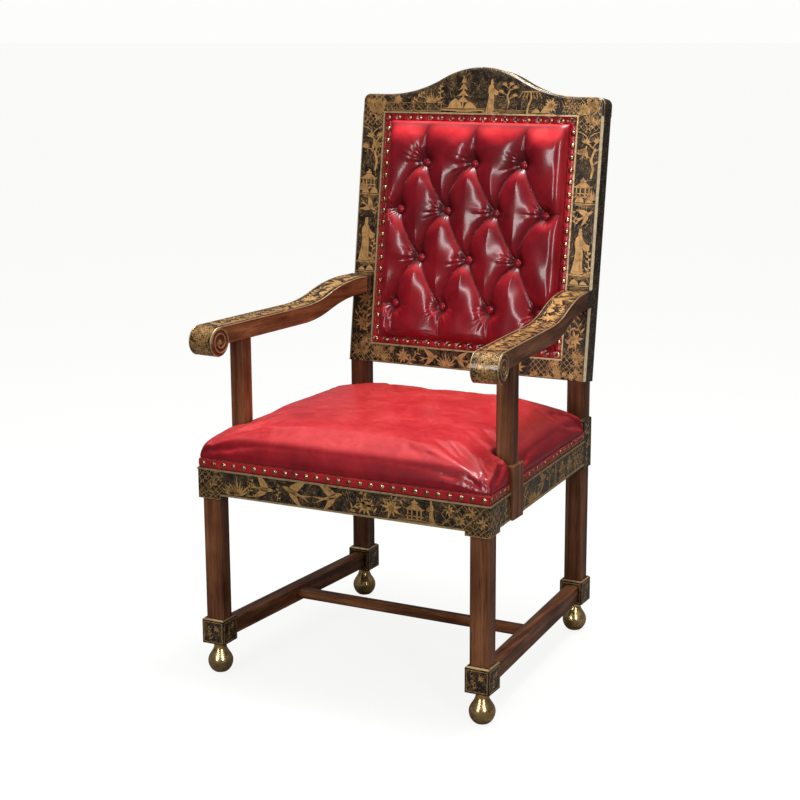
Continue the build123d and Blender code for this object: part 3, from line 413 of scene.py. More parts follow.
def outward(shape):
    """Turns all faces of a closed shape outwards."""
    bmesh.ops.recalc_face_normals(shape, faces=shape.faces)
    return shape


def thickened(shape, thickness, facing=None):
    """Gives open strips a back, so they are solid."""
    for face in shape.faces:
        if facing is not None and face.normal.dot(Vector(facing)) < 0:
            face.normal_flip()
    bmesh.ops.solidify(shape, geom=shape.faces[:], thickness=thickness)
    return outward(shape)


def islands(node):
    """The loose solids of a CAD node, each as an array of its corners."""
    shape = bmesh.new()
    shape.from_mesh(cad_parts[node].data)
    bmesh.ops.remove_doubles(shape, verts=shape.verts, dist=0.01 * MM)
    left = set(shape.verts)
    found = []
    while left:
        group = [left.pop()]
        for vert in group:
            for edge in vert.link_edges:
                other = edge.other_vert(vert)
                if other in left:
                    left.remove(other)
                    group.append(other)
        found.append(np.array([v.co for v in group]))
    shape.free()
    return sorted(found, key=lambda a: tuple(a.mean(0).round(4)))


def sharpen(piece, angle=30):
    """Shades curved faces smooth and leaves real edges sharp."""
    piece.data.set_sharp_from_angle(angle=math.radians(angle))


def turned(outline, steps):
    """A closed round shape from its outline of (radius, height)."""
    shape = bmesh.new()
    verts = [shape.verts.new((radius, 0, z)) for radius, z in outline]
    edges = [shape.edges.new(pair) for pair in zip(verts, verts[1:])]
    round_z = {"axis": (0, 0, 1), "cent": (0, 0, 0), "angle": math.tau, "steps": steps}
    bmesh.ops.spin(shape, geom=verts + edges, use_merge=True, **round_z)
    bmesh.ops.remove_doubles(shape, verts=shape.verts, dist=0.001 * MM)
    return outward(shape)


# Domes of nails and buttons
def dome(radius, height, rings, segments, rim):
    """A closed dome on the XY plane with a small rolled rim."""
    outline = [(0, height)]
    for i in range(1, rings + 1):
        turn = math.pi / 2 * i / rings
        outline.append((radius * math.sin(turn), rim + (height - rim) * math.cos(turn)))
    return turned(outline + [(radius, 0), (0, 0)], segments)


def facing(spot, out):
    """A matrix that stands +Z along out at a spot."""
    return Matrix.Translation(spot) @ Vector(out).to_track_quat("Z", "Y").to_matrix().to_4x4()


def flat_side(corners):
    """The centre and outward direction of a domed solid's flat side."""
    middle = corners.mean(0)
    _, _, axes = np.linalg.svd(corners - middle)
    out = axes[2]
    heights = (corners - middle) @ out
    if abs(heights.min()) > abs(heights.max()):
        out = -out
        heights = -heights
    low = corners[heights < heights.min() + 0.05 * MM]
    return low.mean(0), out


def domes_on(node, name, sizes, material, slot):
    """Puts one dome where each solid of a node stands."""
    whole = bmesh.new()
    mesh = as_mesh("one_dome", dome(*sizes))
    chance = random.Random(5)
    for corners in islands(node):
        turn = Matrix.Rotation(chance.uniform(0, math.tau), 4, "Z")
        tip = Matrix.Rotation(chance.uniform(-0.09, 0.09), 4, "X")
        before = len(whole.verts)
        whole.from_mesh(mesh)
        whole.verts.ensure_lookup_table()
        place = facing(*flat_side(corners)) @ tip @ turn
        bmesh.ops.transform(whole, matrix=place, verts=whole.verts[before:])
    bpy.data.meshes.remove(mesh)
    put(name, whole, material, slot, node)


# Flat gold drawings, laid on faces as thin raised paint
PAINT_PROUD = 0.22 * MM
PAINT_SUNK = 0.08 * MM
INK_LIFT = 0.18 * MM
INK_LINE = 0.35 * MM
CURVE_STEP = 5 * MM
LATTICE_LINE = 0.75 * MM
FENCE_LINE = 0.9 * MM
WATER_LINE = 0.8 * MM
WATER_PITCH = 2.2 * MM


def placed(x, y, size, points, flip=1, turn=0.0):
    """Points given in shares of a size, about a place."""
    c, s = math.cos(turn), math.sin(turn)
    found = []
    for a, b in points:
        along, aside = flip * a * size, b * size
        found.append((x + along * c - aside * s, y + along * s + aside * c))
    return found


def brushed(points, width, end_share=0.3):
    """The outline of a brush stroke through points, thinner at its ends."""
    count = len(points)
    left, right = [], []
    for i, (x, y) in enumerate(points):
        x0, y0 = points[max(0, i - 1)]
        x1, y1 = points[min(count - 1, i + 1)]
        size = math.hypot(x1 - x0, y1 - y0) or 1
        nx, ny = -(y1 - y0) / size, (x1 - x0) / size
        swell = end_share + (1 - end_share) * math.sin(math.pi * (i + 0.5) / count)
        half = width * swell / 2
        left.append((x + nx * half, y + ny * half))
        right.append((x - nx * half, y - ny * half))
    return left + right[::-1]


class Drawing:
    """Closed outlines in a face's own plane, in metres."""

    def __init__(self, *bounds):
        self.outlines, self.inked, self.bounds = [], [], bounds

    def shape(self, points):
        self.outlines.append(points)

    def stroke(self, points, *widths):
        self.shape(brushed(points, *widths))

    def ink(self, line, *lines):
        """Thin dark lines over the gold."""
        self.inked += [brushed(points, line, 0.5) for points in lines]

    def bar(self, x0, y0, x1, y1):
        self.shape([(x0, y0), (x1, y0), (x1, y1), (x0, y1)])

    def blade(self, x, y, length, width, turn, bend=0.0):
        """A leaf from its root, pointed at both ends, bent sideways by a share."""
        upper, lower = [], []
        for i in range(6):
            t = i / 5
            half = math.sin(math.pi * t**0.8) * width / 2
            sway = bend * length * t * t
            upper.append((t * length, sway + half))
            lower.append((t * length, sway - half))
        self.shape(placed(x, y, 1, upper + lower[-2:0:-1], 1, turn))


# Motifs, each with its points in shares of its size
SWALLOW = (
    (
        (0.46, 0.016), (0.36, 0.072), (0.22, 0.072), (0.0, 0.04), (-0.18, 0.024), (-0.54, 0.136),
        (-0.30, 0.0), (-0.56, -0.08), (-0.18, -0.032), (0.0, -0.056), (0.2, -0.056), (0.36, -0.016),
    ),
    (
        (0.24, 0.04), (0.20, 0.16), (0.06, 0.304), (-0.24, 0.464), (-0.14, 0.272), (-0.07, 0.112),
        (0.0, 0.016),
    ),
    (
        (0.22, -0.032), (0.12, -0.16), (-0.04, -0.256), (-0.34, -0.336), (-0.17, -0.192),
        (-0.08, -0.08), (0.0, -0.016),
    ),
)
SWALLOW_LINES = (
    ((0.16, 0.04), (0.08, 0.16), (-0.12, 0.38)),
    ((0.12, -0.05), (0.02, -0.13), (-0.2, -0.27)),
    ((0.28, 0.0), (0.05, -0.01), (-0.2, 0.0)),
)
PAVILION = (
    (
        (-0.58, 0.60), (-0.42, 0.58), (-0.14, 0.80), (0.14, 0.80), (0.42, 0.58), (0.58, 0.60),
        (0.44, 0.50), (-0.44, 0.50),
    ),
    (
        (-0.10, 0.82), (-0.20, 0.88), (-0.06, 0.96), (0.0, 1.08), (0.06, 0.96), (0.20, 0.88),
        (0.10, 0.82),
    ),
)
HEAD = [(0.048 * math.cos(math.tau * i / 9), 0.0576 * math.sin(math.tau * i / 9)) for i in range(9)]
FIGURE = (
    ((-0.045, 0.93), (-0.02, 0.99), (0.03, 1.0), (0.045, 0.94), (0.0, 0.955)),
    (
        (-0.03, 0.84), (-0.09, 0.78), (-0.11, 0.66), (-0.08, 0.50), (-0.10, 0.30), (-0.14, 0.12),
        (-0.17, 0.0), (0.02, -0.02), (0.12, 0.01), (0.09, 0.20), (0.10, 0.40), (0.08, 0.56),
        (0.10, 0.70), (0.06, 0.81), (0.03, 0.84),
    ),
    ((0.06, 0.76), (0.16, 0.66), (0.24, 0.62), (0.23, 0.52), (0.13, 0.50), (0.05, 0.60)),
)
FIGURE_FOLDS = (
    ((-0.02, 0.83), (0.02, 0.74), (-0.02, 0.60)),
    ((-0.09, 0.55), (0.0, 0.53), (0.08, 0.55)),
    ((-0.05, 0.50), (-0.07, 0.25), (-0.10, 0.03)),
    ((0.03, 0.50), (0.03, 0.25), (0.05, 0.02)),
    ((0.06, 0.72), (0.12, 0.62), (0.20, 0.57)),
    ((-0.14, 0.06), (0.0, 0.045), (0.10, 0.06)),
)
ROCKS = (
    ((-0.5, 0), (-0.42, 0.18), (-0.25, 0.30), (-0.08, 0.16), (0.0, 0.0)),
    ((0.03, 0), (0.10, 0.14), (0.24, 0.20), (0.38, 0.10), (0.46, 0.0)),
)
TREE_TRUNK = ((0, 0), (0.05, 0.25), (-0.03, 0.5), (0.08, 0.8))
WILLOW_TRUNK = ((0, 0), (0.04, 0.3), (0.16, 0.62), (0.12, 0.92))


def swallow(d, x, y, size, turn=0.0, flip=1):
    """A swallow in flight with swept wings and a forked tail."""
    for outline in SWALLOW:
        d.shape(placed(x, y, size, outline, flip, turn))
    d.ink(INK_LINE, *(placed(x, y, size, line, flip, turn) for line in SWALLOW_LINES))


def star_flower(d, x, y, size, petals=9, turn=0.2):
    """Pointed petals round a centre."""
    for i in range(petals):
        reach = size / 2 * (0.78 if i % 2 else 1.0)
        d.blade(x, y, reach, size * 0.13, turn + math.tau * i / petals)


def spray(d, x, y, size, turn, leaves=5, bend=0.25, flip=1):
    """A bending stem with leaves on both sides."""
    stem = [(i / 8, flip * bend * (i / 8) ** 2) for i in range(9)]
    stem = placed(x, y, size, stem, 1, turn)
    d.stroke(stem, size * 0.035, 0.4)
    for i in range(leaves):
        t = (i + 1) / leaves
        side = 1 if i % 2 else -1
        way = turn + flip * bend * t + side * 0.85
        d.blade(*stem[min(8, round(t * 8))], size * (0.30 - 0.10 * t), size * 0.085, way, side * 0.12)
    d.blade(*stem[8], size * 0.2, size * 0.07, turn + flip * bend * 1.6)


def tree(d, x, y, size, flip=1):
    """A leaning trunk with tufts of leaves at the ends of its branches."""
    d.stroke(placed(x, y, size, TREE_TRUNK, flip), size * 0.07, 0.5)
    for height, reach in ((0.35, 0.3), (0.5, -0.34), (0.68, 0.3), (0.8, -0.2), (0.82, 0.12)):
        branch = ((0.01, height), (0.01 + reach / 2, height + 0.10), (0.01 + reach, height + 0.14))
        branch = placed(x, y, size, branch, flip)
        d.stroke(branch, size * 0.028, 0.5)
        for k in range(5):
            d.blade(*branch[2], size * 0.15, size * 0.05, 0.3 + k * 0.62)


def willow(d, x, y, size):
    """A willow: a bent trunk and long drooping strands."""
    d.stroke(placed(x, y, size, WILLOW_TRUNK), size * 0.09, 0.45)
    for k in range(7):
        across = (k - 3) / 3
        top = 0.92 - 0.05 * abs(across)
        low = top - 0.34 + 0.1 * abs(across)
        strand = ((0.12, top), (0.12 + across * 0.36, top + 0.02), (0.12 + across * 0.50, low))
        d.stroke(placed(x, y, size, strand), size * 0.03, 0.3)


def pine(d, x, y, size):
    """A conical pine of layered fans."""
    d.stroke(placed(x, y, size, ((0, 0), (0, 0.5), (0, 1))), size * 0.05, 0.5)
    for i in range(4):
        wide, up = 0.52 - 0.11 * i, 0.12 + 0.22 * i
        half, eave = wide * 0.45, up + 0.05
        fan = ((-wide, up), (-half, eave), (0, up + 0.26), (half, eave), (wide, up), (0, up + 0.07))
        d.shape(placed(x, y, size, fan))


def pavilion(d, x, y, size):
    """A garden pavilion: a roof with turned-up eaves on four posts."""
    for outline in PAVILION:
        d.shape(placed(x, y, size, outline))
    for a in (-0.36, -0.14, 0.14, 0.36):
        d.bar(x + (a - 0.03) * size, y + 0.06 * size, x + (a + 0.03) * size, y + 0.50 * size)
    for b in (0.0, 0.18):
        d.bar(x - 0.48 * size, y + b * size, x + 0.48 * size, y + (b + 0.05) * size)
    lines = [((a, 0.52), (a * 0.8, 0.62), (a * 0.45, 0.76)) for a in (-0.28, -0.10, 0.10, 0.28)]
    lines.append(((-0.46, 0.545), (0.0, 0.53), (0.46, 0.545)))
    d.ink(INK_LINE, *(placed(x, y, size, line) for line in lines))


def robed_figure(d, x, y, size, flip=1):
    """A standing figure in a long robe, drawn as a plain shape with no face."""
    d.shape(placed(x + flip * 0.005 * size, y + 0.89 * size, size, HEAD))
    for outline in FIGURE:
        d.shape(placed(x, y, size, outline, flip))
    line = min(0.45 * MM, 0.014 * size)
    d.ink(line, *(placed(x, y, size, fold, flip) for fold in FIGURE_FOLDS))
    ground = ((-0.30, -0.02), (0, -0.04), (0.30, -0.02))
    d.stroke(placed(x, y, size, ground), 0.03 * size)


def rocks(d, x, y, size, flip=1):
    """Rounded rocks with a ground line."""
    for outline in ROCKS:
        d.shape(placed(x, y, size, outline, flip))
    ground = ((-0.7, -0.05), (0, -0.07), (0.7, -0.04))
    d.stroke(placed(x, y, size, ground), 0.045 * size, 0.2)


def water(d, x, y, width, rows=3):
    """Long level strokes of water or ground."""
    for i in range(rows):
        half = width / 2 * (1 - 0.22 * i)
        middle, up = x + (0.12, -0.18, 0.1)[i % 3] * half, y - i * WATER_PITCH
        line = [(middle - half, up), (middle, up + 0.3 * MM), (middle + half, up)]
        d.stroke(line, WATER_LINE, 0.2)


def fan_tree(d, x, y, size):
    """A low fan of stems springing from one root."""
    for i in range(9):
        turn = math.pi * (0.12 + 0.76 * i / 8)
        d.blade(x, y, size * (0.8 + 0.2 * math.sin(i * 2.1)), size * 0.09, turn, 0.08)


def fence(d, x, y, width, height):
    """A panel of fence: a frame, posts and crossed bars."""
    line = FENCE_LINE
    for i in range(3):
        post = x + width * i / 2
        d.bar(post - line / 2, y, post + line / 2, y + height)
    for b in (y, y + height - line):
        d.bar(x, b, x + width, b + line)
    cells = max(1, round(width / height / 1.1))
    step = width / cells
    for i in range(cells):
        a = x + width * i / cells
        d.stroke([(a, y), (a + step, y + height)], line * 0.6, 1.0)
        d.stroke([(a, y + height), (a + step, y)], line * 0.6, 1.0)


def lattice(d, x, y, width, height, pitch, stars=True):
    """Crossed diagonals over a panel, with small stars in the diamonds."""
    for i in range(int((width + height) / pitch) + 1):
        for lean in (1, -1):
            a = x + i * pitch - (height if lean > 0 else 0)
            ends = sorted((lean * (x - a) / height, lean * (x + width - a) / height))
            t0, t1 = max(0.0, ends[0]), min(1.0, ends[1])
            if t1 - t0 > 0.08:
                line = [(a + lean * t * height, y + t * height) for t in (t0, t1)]
                d.stroke(line, LATTICE_LINE, 1.0)
    rows = max(1, round(height / pitch * 2) - 1) if stars else 0
    for j in range(rows):
        shift = pitch / 2 if j % 2 else 0
        for i in range(int(width / pitch)):
            star_flower(d, x + pitch / 2 + i * pitch + shift, y + (j + 1) * pitch / 2, pitch * 0.5, 6)


def stray(d, chance, start, end, size):
    """One fine stray stroke, a little bowed."""
    bow = chance.uniform(-0.12, 0.12) * size
    middle = ((start[0] + end[0]) / 2 + bow, (start[1] + end[1]) / 2 + bow)
    d.stroke([start, middle, end], chance.uniform(0.35, 0.7) * MM, 0.25)


def scratches(d, x, y, width, height, count, seed, longest=9):
    """Fine stray strokes, up to so many millimetres long."""
    chance = random.Random(seed)
    for _ in range(count):
        start = (x + chance.random() * width, y + chance.random() * height)
        turn = chance.uniform(-0.5, 0.5) + chance.choice((0.7, 2.3, 1.5))
        size = min(chance.uniform(0.3, 1.0) * longest * MM, 1.6 * height)
        end = (start[0] + math.cos(turn) * size, start[1] + math.sin(turn) * size)
        if x < end[0] < x + width and y < end[1] < y + height:
            stray(d, chance, start, end, size)


def motifs(d, run, base, *rows):
    """Motifs in turn: each with its share of the run, its height over the base and its
    size, both in millimetres, and what else it takes."""
    for motif, share, up, size, *rest in rows:
        motif(d, share * run, base + up * MM, size * MM, *rest)


def sliced(part, spot, out, **how):
    geometry = part.verts[:] + part.edges[:] + part.faces[:]
    bmesh.ops.bisect_plane(part, geom=geometry, plane_co=spot, plane_no=out, **how)


def lay_paint(name, layers, material, slot, lift):
    """Raised paint from (outlines, bounds, place), cut off at its bounds."""
    whole = bmesh.new()
    for outlines, bounds, place in layers:
        part = bmesh.new()
        for outline in outlines:
            face = part.faces.new([part.verts.new((a, b, 0)) for a, b in outline])
            face.normal_update()
            if face.normal.z < 0:
                face.normal_flip()
        bmesh.ops.triangulate(part, faces=part.faces)
        if bounds:
            x0, y0, x1, y1 = bounds
            for spot, out in (
                ((x0, 0, 0), (-1, 0, 0)),
                ((x1, 0, 0), (1, 0, 0)),
                ((0, y0, 0), (0, -1, 0)),
                ((0, y1, 0), (0, 1, 0)),
            ):
                sliced(part, spot, out, clear_outer=True)
        if callable(place):
            limits = [v.co.x for v in part.verts]
            cut, end = min(limits) + CURVE_STEP, max(limits)
            while cut < end:
                sliced(part, (cut, 0, 0), (1, 0, 0))
                cut += CURVE_STEP
        bmesh.ops.solidify(part, geom=part.faces[:], thickness=PAINT_PROUD + PAINT_SUNK)
        top = max(v.co.z for v in part.verts)
        for vert in part.verts:
            x, y, z = vert.co
            z += PAINT_PROUD + lift - top
            vert.co = place(x, y, z) if callable(place) else place @ Vector((x, y, z))
        mesh = as_mesh(name, outward(part))
        whole.from_mesh(mesh)
        bpy.data.meshes.remove(mesh)
    put(name, whole, material, slot, smooth=False)


def paint(name, *drawings):
    """One piece of thin raised paint from (drawing, place) pairs, and its ink lines.

    A place is a matrix from the face's plane, or a function of along, across and out."""
    gold = [(d.outlines, d.bounds, place) for d, place in drawings]
    lay_paint(name, gold, gold_paint, "gilding", 0)
    dark = [(d.inked, d.bounds, place) for d, place in drawings if d.inked]
    if dark:
        lay_paint(name + "_ink", dark, ink, "japanned_wood", INK_LIFT)


def face_frame(origin, along, up=(0, 0, 1)):
    """A matrix from a face's plane: x runs along, y up, z out."""
    along, up = Vector(along).normalized(), Vector(up).normalized()
    made = Matrix((along, up, along.cross(up))).transposed().to_4x4()
    made.translation = Vector(origin)
    return made


# Turned brass feet: the pear, then its collar, as (radius, height) in millimetres
FOOT_OUTLINE = (
    (0, 0), (10.5, 0), (13.6, 0.9), (17.6, 4.2), (21.2, 9.2), (23.8, 15), (24.8, 21), (24.7, 25.5),
    (23.4, 30.5), (20.9, 35.5), (17.8, 40.2), (15.1, 44.6), (13.3, 48.8), (12.3, 53), (12, 57),
    (12, 58.4), (14.2, 58.9), (15, 59.8), (15, 62.2), (14.2, 63), (0, 63),
)
CORNERS = ("front_right", "front_left", "rear_right", "rear_left")
SIDES = ("right", "left")

for node in ["foot_" + corner for corner in CORNERS]:
    low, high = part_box(node)
    shape = turned([(radius * MM, z * MM) for radius, z in FOOT_OUTLINE], 56)
    middle = ((low.x + high.x) / 2, (low.y + high.y) / 2, 0)
    bmesh.ops.translate(shape, verts=shape.verts, vec=middle)
    sharpen(put("turned_" + node, shape, foot_brass, "foot_brass", node), 35)

# Radius, height, rings, segments and rim of a nail's head and of a button
NAIL = (4.9 * MM, 3.4 * MM, 4, 12, 0.5 * MM)
BUTTON = (8.3 * MM, 6.0 * MM, 8, 32, 1.4 * MM)
domes_on("seat_nails", "seat_nail_heads", NAIL, nail_brass, "nail_brass")
domes_on("back_nails", "back_nail_heads", NAIL, nail_brass, "nail_brass")
domes_on("outside_back_nails", "outside_nail_heads", NAIL, nail_brass, "nail_brass")
domes_on("back_buttons", "covered_buttons", BUTTON, button_leather, "back_leather")


# The over-stuffed seat
LEVEL_SHARES = (0.0, 0.2, 0.32, 0.5, 0.7, 0.8, 0.88, 0.94, 0.98, 1.0)
REAR_REACH_SHARES = (1.0, 1.0, 0.935, 0.83, 0.745, 0.72, 0.665, 0.58, 0.445, 0.3)
CORNER_ROUND_SHARES = (0.006, 0.006, 0.03, 0.075, 0.19, 0.27, 0.33, 0.34, 0.28, 0.16)
SEAT_LEVELS = 30
SEAT_MIDDLE_Y = FRONT_LINE_Y + 233.5 * MM
SEAT_HALF_LENGTH = 255.8 * MM
SEAT_SIDE_GAP, SEAT_END_GAP = 0.2 * MM, 0.4 * MM
SIDE_CURVE = (5.92, 2.13, 0.12)
FRONT_CURVE = (6.0, 4.66, 0.30)
SEAT_VOXEL = 5 * MM
SEAT_SLACK = 4 * MM
SEAT_SWELL_CAP = 7 * MM
SWELL_FRAMES = 20
RELAX_PASSES = 12
RELAX_SHARES = (0.6, -0.58)
HELD_OVER_BAND = 11 * MM
HELD_FADE = 8 * MM
SWELLING = {
    "quality": 6,
    "mass": 0.4,
    "tension_stiffness": 25,
    "compression_stiffness": 25,
    "shear_stiffness": 12,
    "bending_stiffness": 0.6,
    "use_pressure": True,
    "uniform_pressure_force": 4.0,
    "vertex_group_mass": "pins",
}
PUCKER_PITCH = 11.3 * MM
PUCKER_DEPTH, CORNER_PUCKER_DEPTH = 0.5 * MM, 1.5 * MM
PUCKER_REACH, CORNER_PUCKER_REACH = 13 * MM, 24 * MM
ROOM_GAP = 0.6 * MM
LIP_GAP = 0.3 * MM


def unit(values):
    """Values held between nought and one."""
    return np.clip(values, 0, 1)


def eased(values):
    held = unit(values)
    return held * held * (3 - 2 * held)


def gathered(items, name, width=3, kind=float):
    """One property of all of a mesh's items, as rows."""
    found = np.zeros(len(items) * width, kind)
    items.foreach_get(name, found)
    return found.reshape(-1, width)


def positions(mesh):
    return gathered(mesh.vertices, "co")


def give_positions(mesh, co):
    mesh.vertices.foreach_set("co", co.astype(np.float32).ravel())
    mesh.update()


def mark(mesh, name, values):
    """Keeps a share at each vertex for the material to read."""
    attribute = mesh.attributes.new(name, "FLOAT", "POINT")
    attribute.data.foreach_set("value", values.astype(np.float32))


def rounded_plan(x_front, x_rear, y_front, y_rear, radius, arc_steps=12, side_steps=14):
    """Points round a trapezium with rounded corners, the same number for every size."""
    corners = ((x_front, y_front), (x_rear, y_rear), (-x_rear, y_rear), (-x_front, y_front))
    arcs = []
    for quarter, (x, y) in enumerate(corners):
        cx = x - math.copysign(radius, x)
        cy = y + (radius if y == y_front else -radius)
        turns = [math.pi / 2 * (quarter - 1 + i / arc_steps) for i in range(arc_steps + 1)]
        arcs.append([(cx + radius * math.cos(a), cy + radius * math.sin(a)) for a in turns])
    points = []
    for i, arc in enumerate(arcs):
        points += arc
        end, after = arc[-1], arcs[(i + 1) % 4][0]
        for k in range(1, side_steps):
            t = k / side_steps
            points.append((end[0] + (after[0] - end[0]) * t, end[1] + (after[1] - end[1]) * t))
    return points


def seat_reach(level, power, root, least):
    """How far a side of the cushion still reaches at a level of its height."""
    return max((1 - level**power) ** (1 / root) if level < 1 else 0.0, least)


def seat_levels():
    """Plans of the cushion from its nailed edge to its crown, as lists of points."""
    middle_y, half = SEAT_MIDDLE_Y, SEAT_HALF_LENGTH
    frame_middle = (RAIL_FRONT_Y + SEAT_REAR_Y) / 2
    half_length = (SEAT_REAR_Y - RAIL_FRONT_Y) / 2 - SEAT_END_GAP
    half_front = RAIL_FRONT_HALF - SEAT_SIDE_GAP
    lean = (SEAT_REAR_Y - RAIL_FRONT_Y) * math.tan(SIDE_SLANT)
    half_rear = RAIL_FRONT_HALF - lean - SEAT_SIDE_GAP / math.cos(SIDE_SLANT)
    lowest = (BAND_HEIGHT + PAD_GAP) / SEAT_CROWN
    rings = []
    for step in range(SEAT_LEVELS + 1):
        level = lowest + (1 - lowest) * math.sin(math.pi / 2 * step / SEAT_LEVELS)
        side = seat_reach(level, *SIDE_CURVE)
        front = seat_reach(level, *FRONT_CURVE)
        rear = float(np.interp(level, LEVEL_SHARES, REAR_REACH_SHARES))
        rounding = float(np.interp(level, LEVEL_SHARES, CORNER_ROUND_SHARES)) * half_front
        y_front, y_rear = middle_y - half * front, frame_middle + half_length * rear
        rounding = min(rounding, 0.95 * half_rear * side, 0.45 * (y_rear - y_front))
        plan = rounded_plan(half_front * side, half_rear * side, y_front, y_rear, rounding)
        tip = SEAT_REAR_LIFT / half * max(0.0, level - 0.3) / 0.7
        height = RAIL_TOP + level * (SEAT_CROWN - SEAT_SLACK)
        rings.append([(x, y, height + tip * (y - middle_y)) for x, y in plan])
    return rings


def loft(rings):
    """A closed shape through rings of equal count."""
    shape = bmesh.new()
    loops = []
    for ring in rings:
        made = bmesh.ops.create_circle(shape, segments=len(ring), radius=1)
        for vert, point in zip(made["verts"], ring):
            vert.co = point
        loops.append(list({e for v in made["verts"] for e in v.link_edges}))
    for low, high in zip(loops, loops[1:]):
        bmesh.ops.bridge_loops(shape, edges=low + high)
    for loop in (loops[0], loops[-1]):
        bmesh.ops.contextual_create(shape, geom=loop)
    return outward(shape)


def cleared(things):
    """Takes helpers and their meshes out of the scene."""
    for thing in things:
        mesh = thing.data
        bpy.data.objects.remove(thing)
        bpy.data.meshes.remove(mesh)


def baked(piece):
    """The piece's mesh with its modifiers applied, as a new mesh."""
    bpy.context.view_layer.update()
    graph = bpy.context.evaluated_depsgraph_get()
    return bpy.data.meshes.new_from_object(piece.evaluated_get(graph))


def cut_out(mesh, rooms, voxel=None):
    """The mesh with rooms cut out of it, and evened out if a voxel's size is given."""
    form = in_scene("form", mesh)
    tools = [in_scene("room", as_mesh("room", room)) for room in rooms]
    for tool in tools:
        cut = form.modifiers.new("room", "BOOLEAN")
        cut.operation = "DIFFERENCE"
        cut.solver = "EXACT"
        cut.object = tool
    if voxel:
        remesh = form.modifiers.new("even", "REMESH")
        remesh.mode = "VOXEL"
        remesh.voxel_size = voxel
        remesh.use_smooth_shade = True
    done = baked(form)
    cleared([form, *tools])
    return done


def remeshed_seat():
    """The cushion as an even mesh, with room cut for brackets, posts and rear blocks."""
    gap, far = ROOM_GAP, 0.1
    rooms = []
    for side in SIDES:
        for node in ("arm_bracket_", "rear_corner_block_"):
            low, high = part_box(node + side)
            low = Vector((low.x - gap, low.y - gap, RAIL_TOP - 1))
            high = Vector((high.x + gap, high.y + gap, RAIL_TOP + 1))
            if side == "right":
                high.x += far
            else:
                low.x -= far
            if node == "rear_corner_block_":
                high.y += far
            room = bmesh.new()
            place = Matrix.LocRotScale((low + high) / 2, None, high - low)
            bmesh.ops.create_cube(room, size=1, matrix=place)
            rooms.append(room)
    return cut_out(as_mesh("seat_form", loft(seat_levels())), rooms, SEAT_VOXEL)


def relax(mesh, held):
    """Evens a mesh out, each vertex towards its neighbours, less where it is held."""
    edges = gathered(mesh.edges, "vertices", 2, int)
    co = positions(mesh)
    count = np.bincount(edges.ravel(), minlength=len(co))[:, None]
    for i in range(RELAX_PASSES):
        total = np.zeros_like(co)
        np.add.at(total, edges[:, 0], co[edges[:, 1]])
        np.add.at(total, edges[:, 1], co[edges[:, 0]])
        co = co + (total / count - co) * RELAX_SHARES[i % 2] * (1 - held[:, None])
    give_positions(mesh, co)


def swollen(mesh, held):
    """Blows a closed leather form up from inside, its held edge pinned, and caps the move."""
    start = positions(mesh)
    form = in_scene("swelling_seat", mesh.copy())
    pins = form.vertex_groups.new(name="pins")
    for i in np.flatnonzero(held > 0.01):
        pins.add([int(i)], float(held[i]), "REPLACE")
    cloth = form.modifiers.new("leather", "CLOTH")
    for name, value in SWELLING.items():
        setattr(cloth.settings, name, value)
    cloth.settings.effector_weights.gravity = 0
    cloth.point_cache.frame_start = 1
    cloth.point_cache.frame_end = SWELL_FRAMES
    scene = bpy.context.scene
    for frame_number in range(1, SWELL_FRAMES + 1):
        scene.frame_set(frame_number)
    done = baked(form)
    moved = positions(done) - start
    size = np.linalg.norm(moved, axis=1, keepdims=True)
    give_positions(mesh, start + moved * np.minimum(1, SEAT_SWELL_CAP / np.maximum(size, 1e-9)))
    bpy.data.meshes.remove(done)
    cleared([form])
    scene.frame_set(1)


def puckered(mesh):
    """Small pleats where the leather is drawn down to its nails, deeper at the corners."""
    co = positions(mesh)
    normals = gathered(mesh.vertex_normals, "vector")
    above = co[:, 2] - (RAIL_TOP + BAND_HEIGHT)
    on_front = np.abs(normals[:, 1]) > np.abs(normals[:, 0])
    along = np.where(on_front, co[:, 0], co[:, 1])
    wave = np.abs(np.sin(math.pi * along / PUCKER_PITCH + 0.6 * np.sin(37 * along)))
    uneven = 0.55 + 0.45 * np.sin(23 * along + 1.3) * np.sin(51 * along)
    corner_x = unit((np.abs(co[:, 0]) - 0.19) / 0.09)
    corner_y = unit((RAIL_FRONT_Y + 0.13 - co[:, 1]) / 0.10)
    corner = np.minimum(corner_x + 0.15, 1) * np.minimum(corner_y + 0.15, 1)
    amount = PUCKER_DEPTH + CORNER_PUCKER_DEPTH * corner
    reach = PUCKER_REACH + CORNER_PUCKER_REACH * corner
    fade = np.exp(-((np.clip(above - 4 * MM, 0, None) / reach) ** 1.5)) * unit(above / (3 * MM))
    upright = unit(1.3 - 1.4 * np.abs(normals[:, 2]))
    push = (wave - 0.6) * uneven * amount * fade * upright
    give_positions(mesh, co + normals * push[:, None])


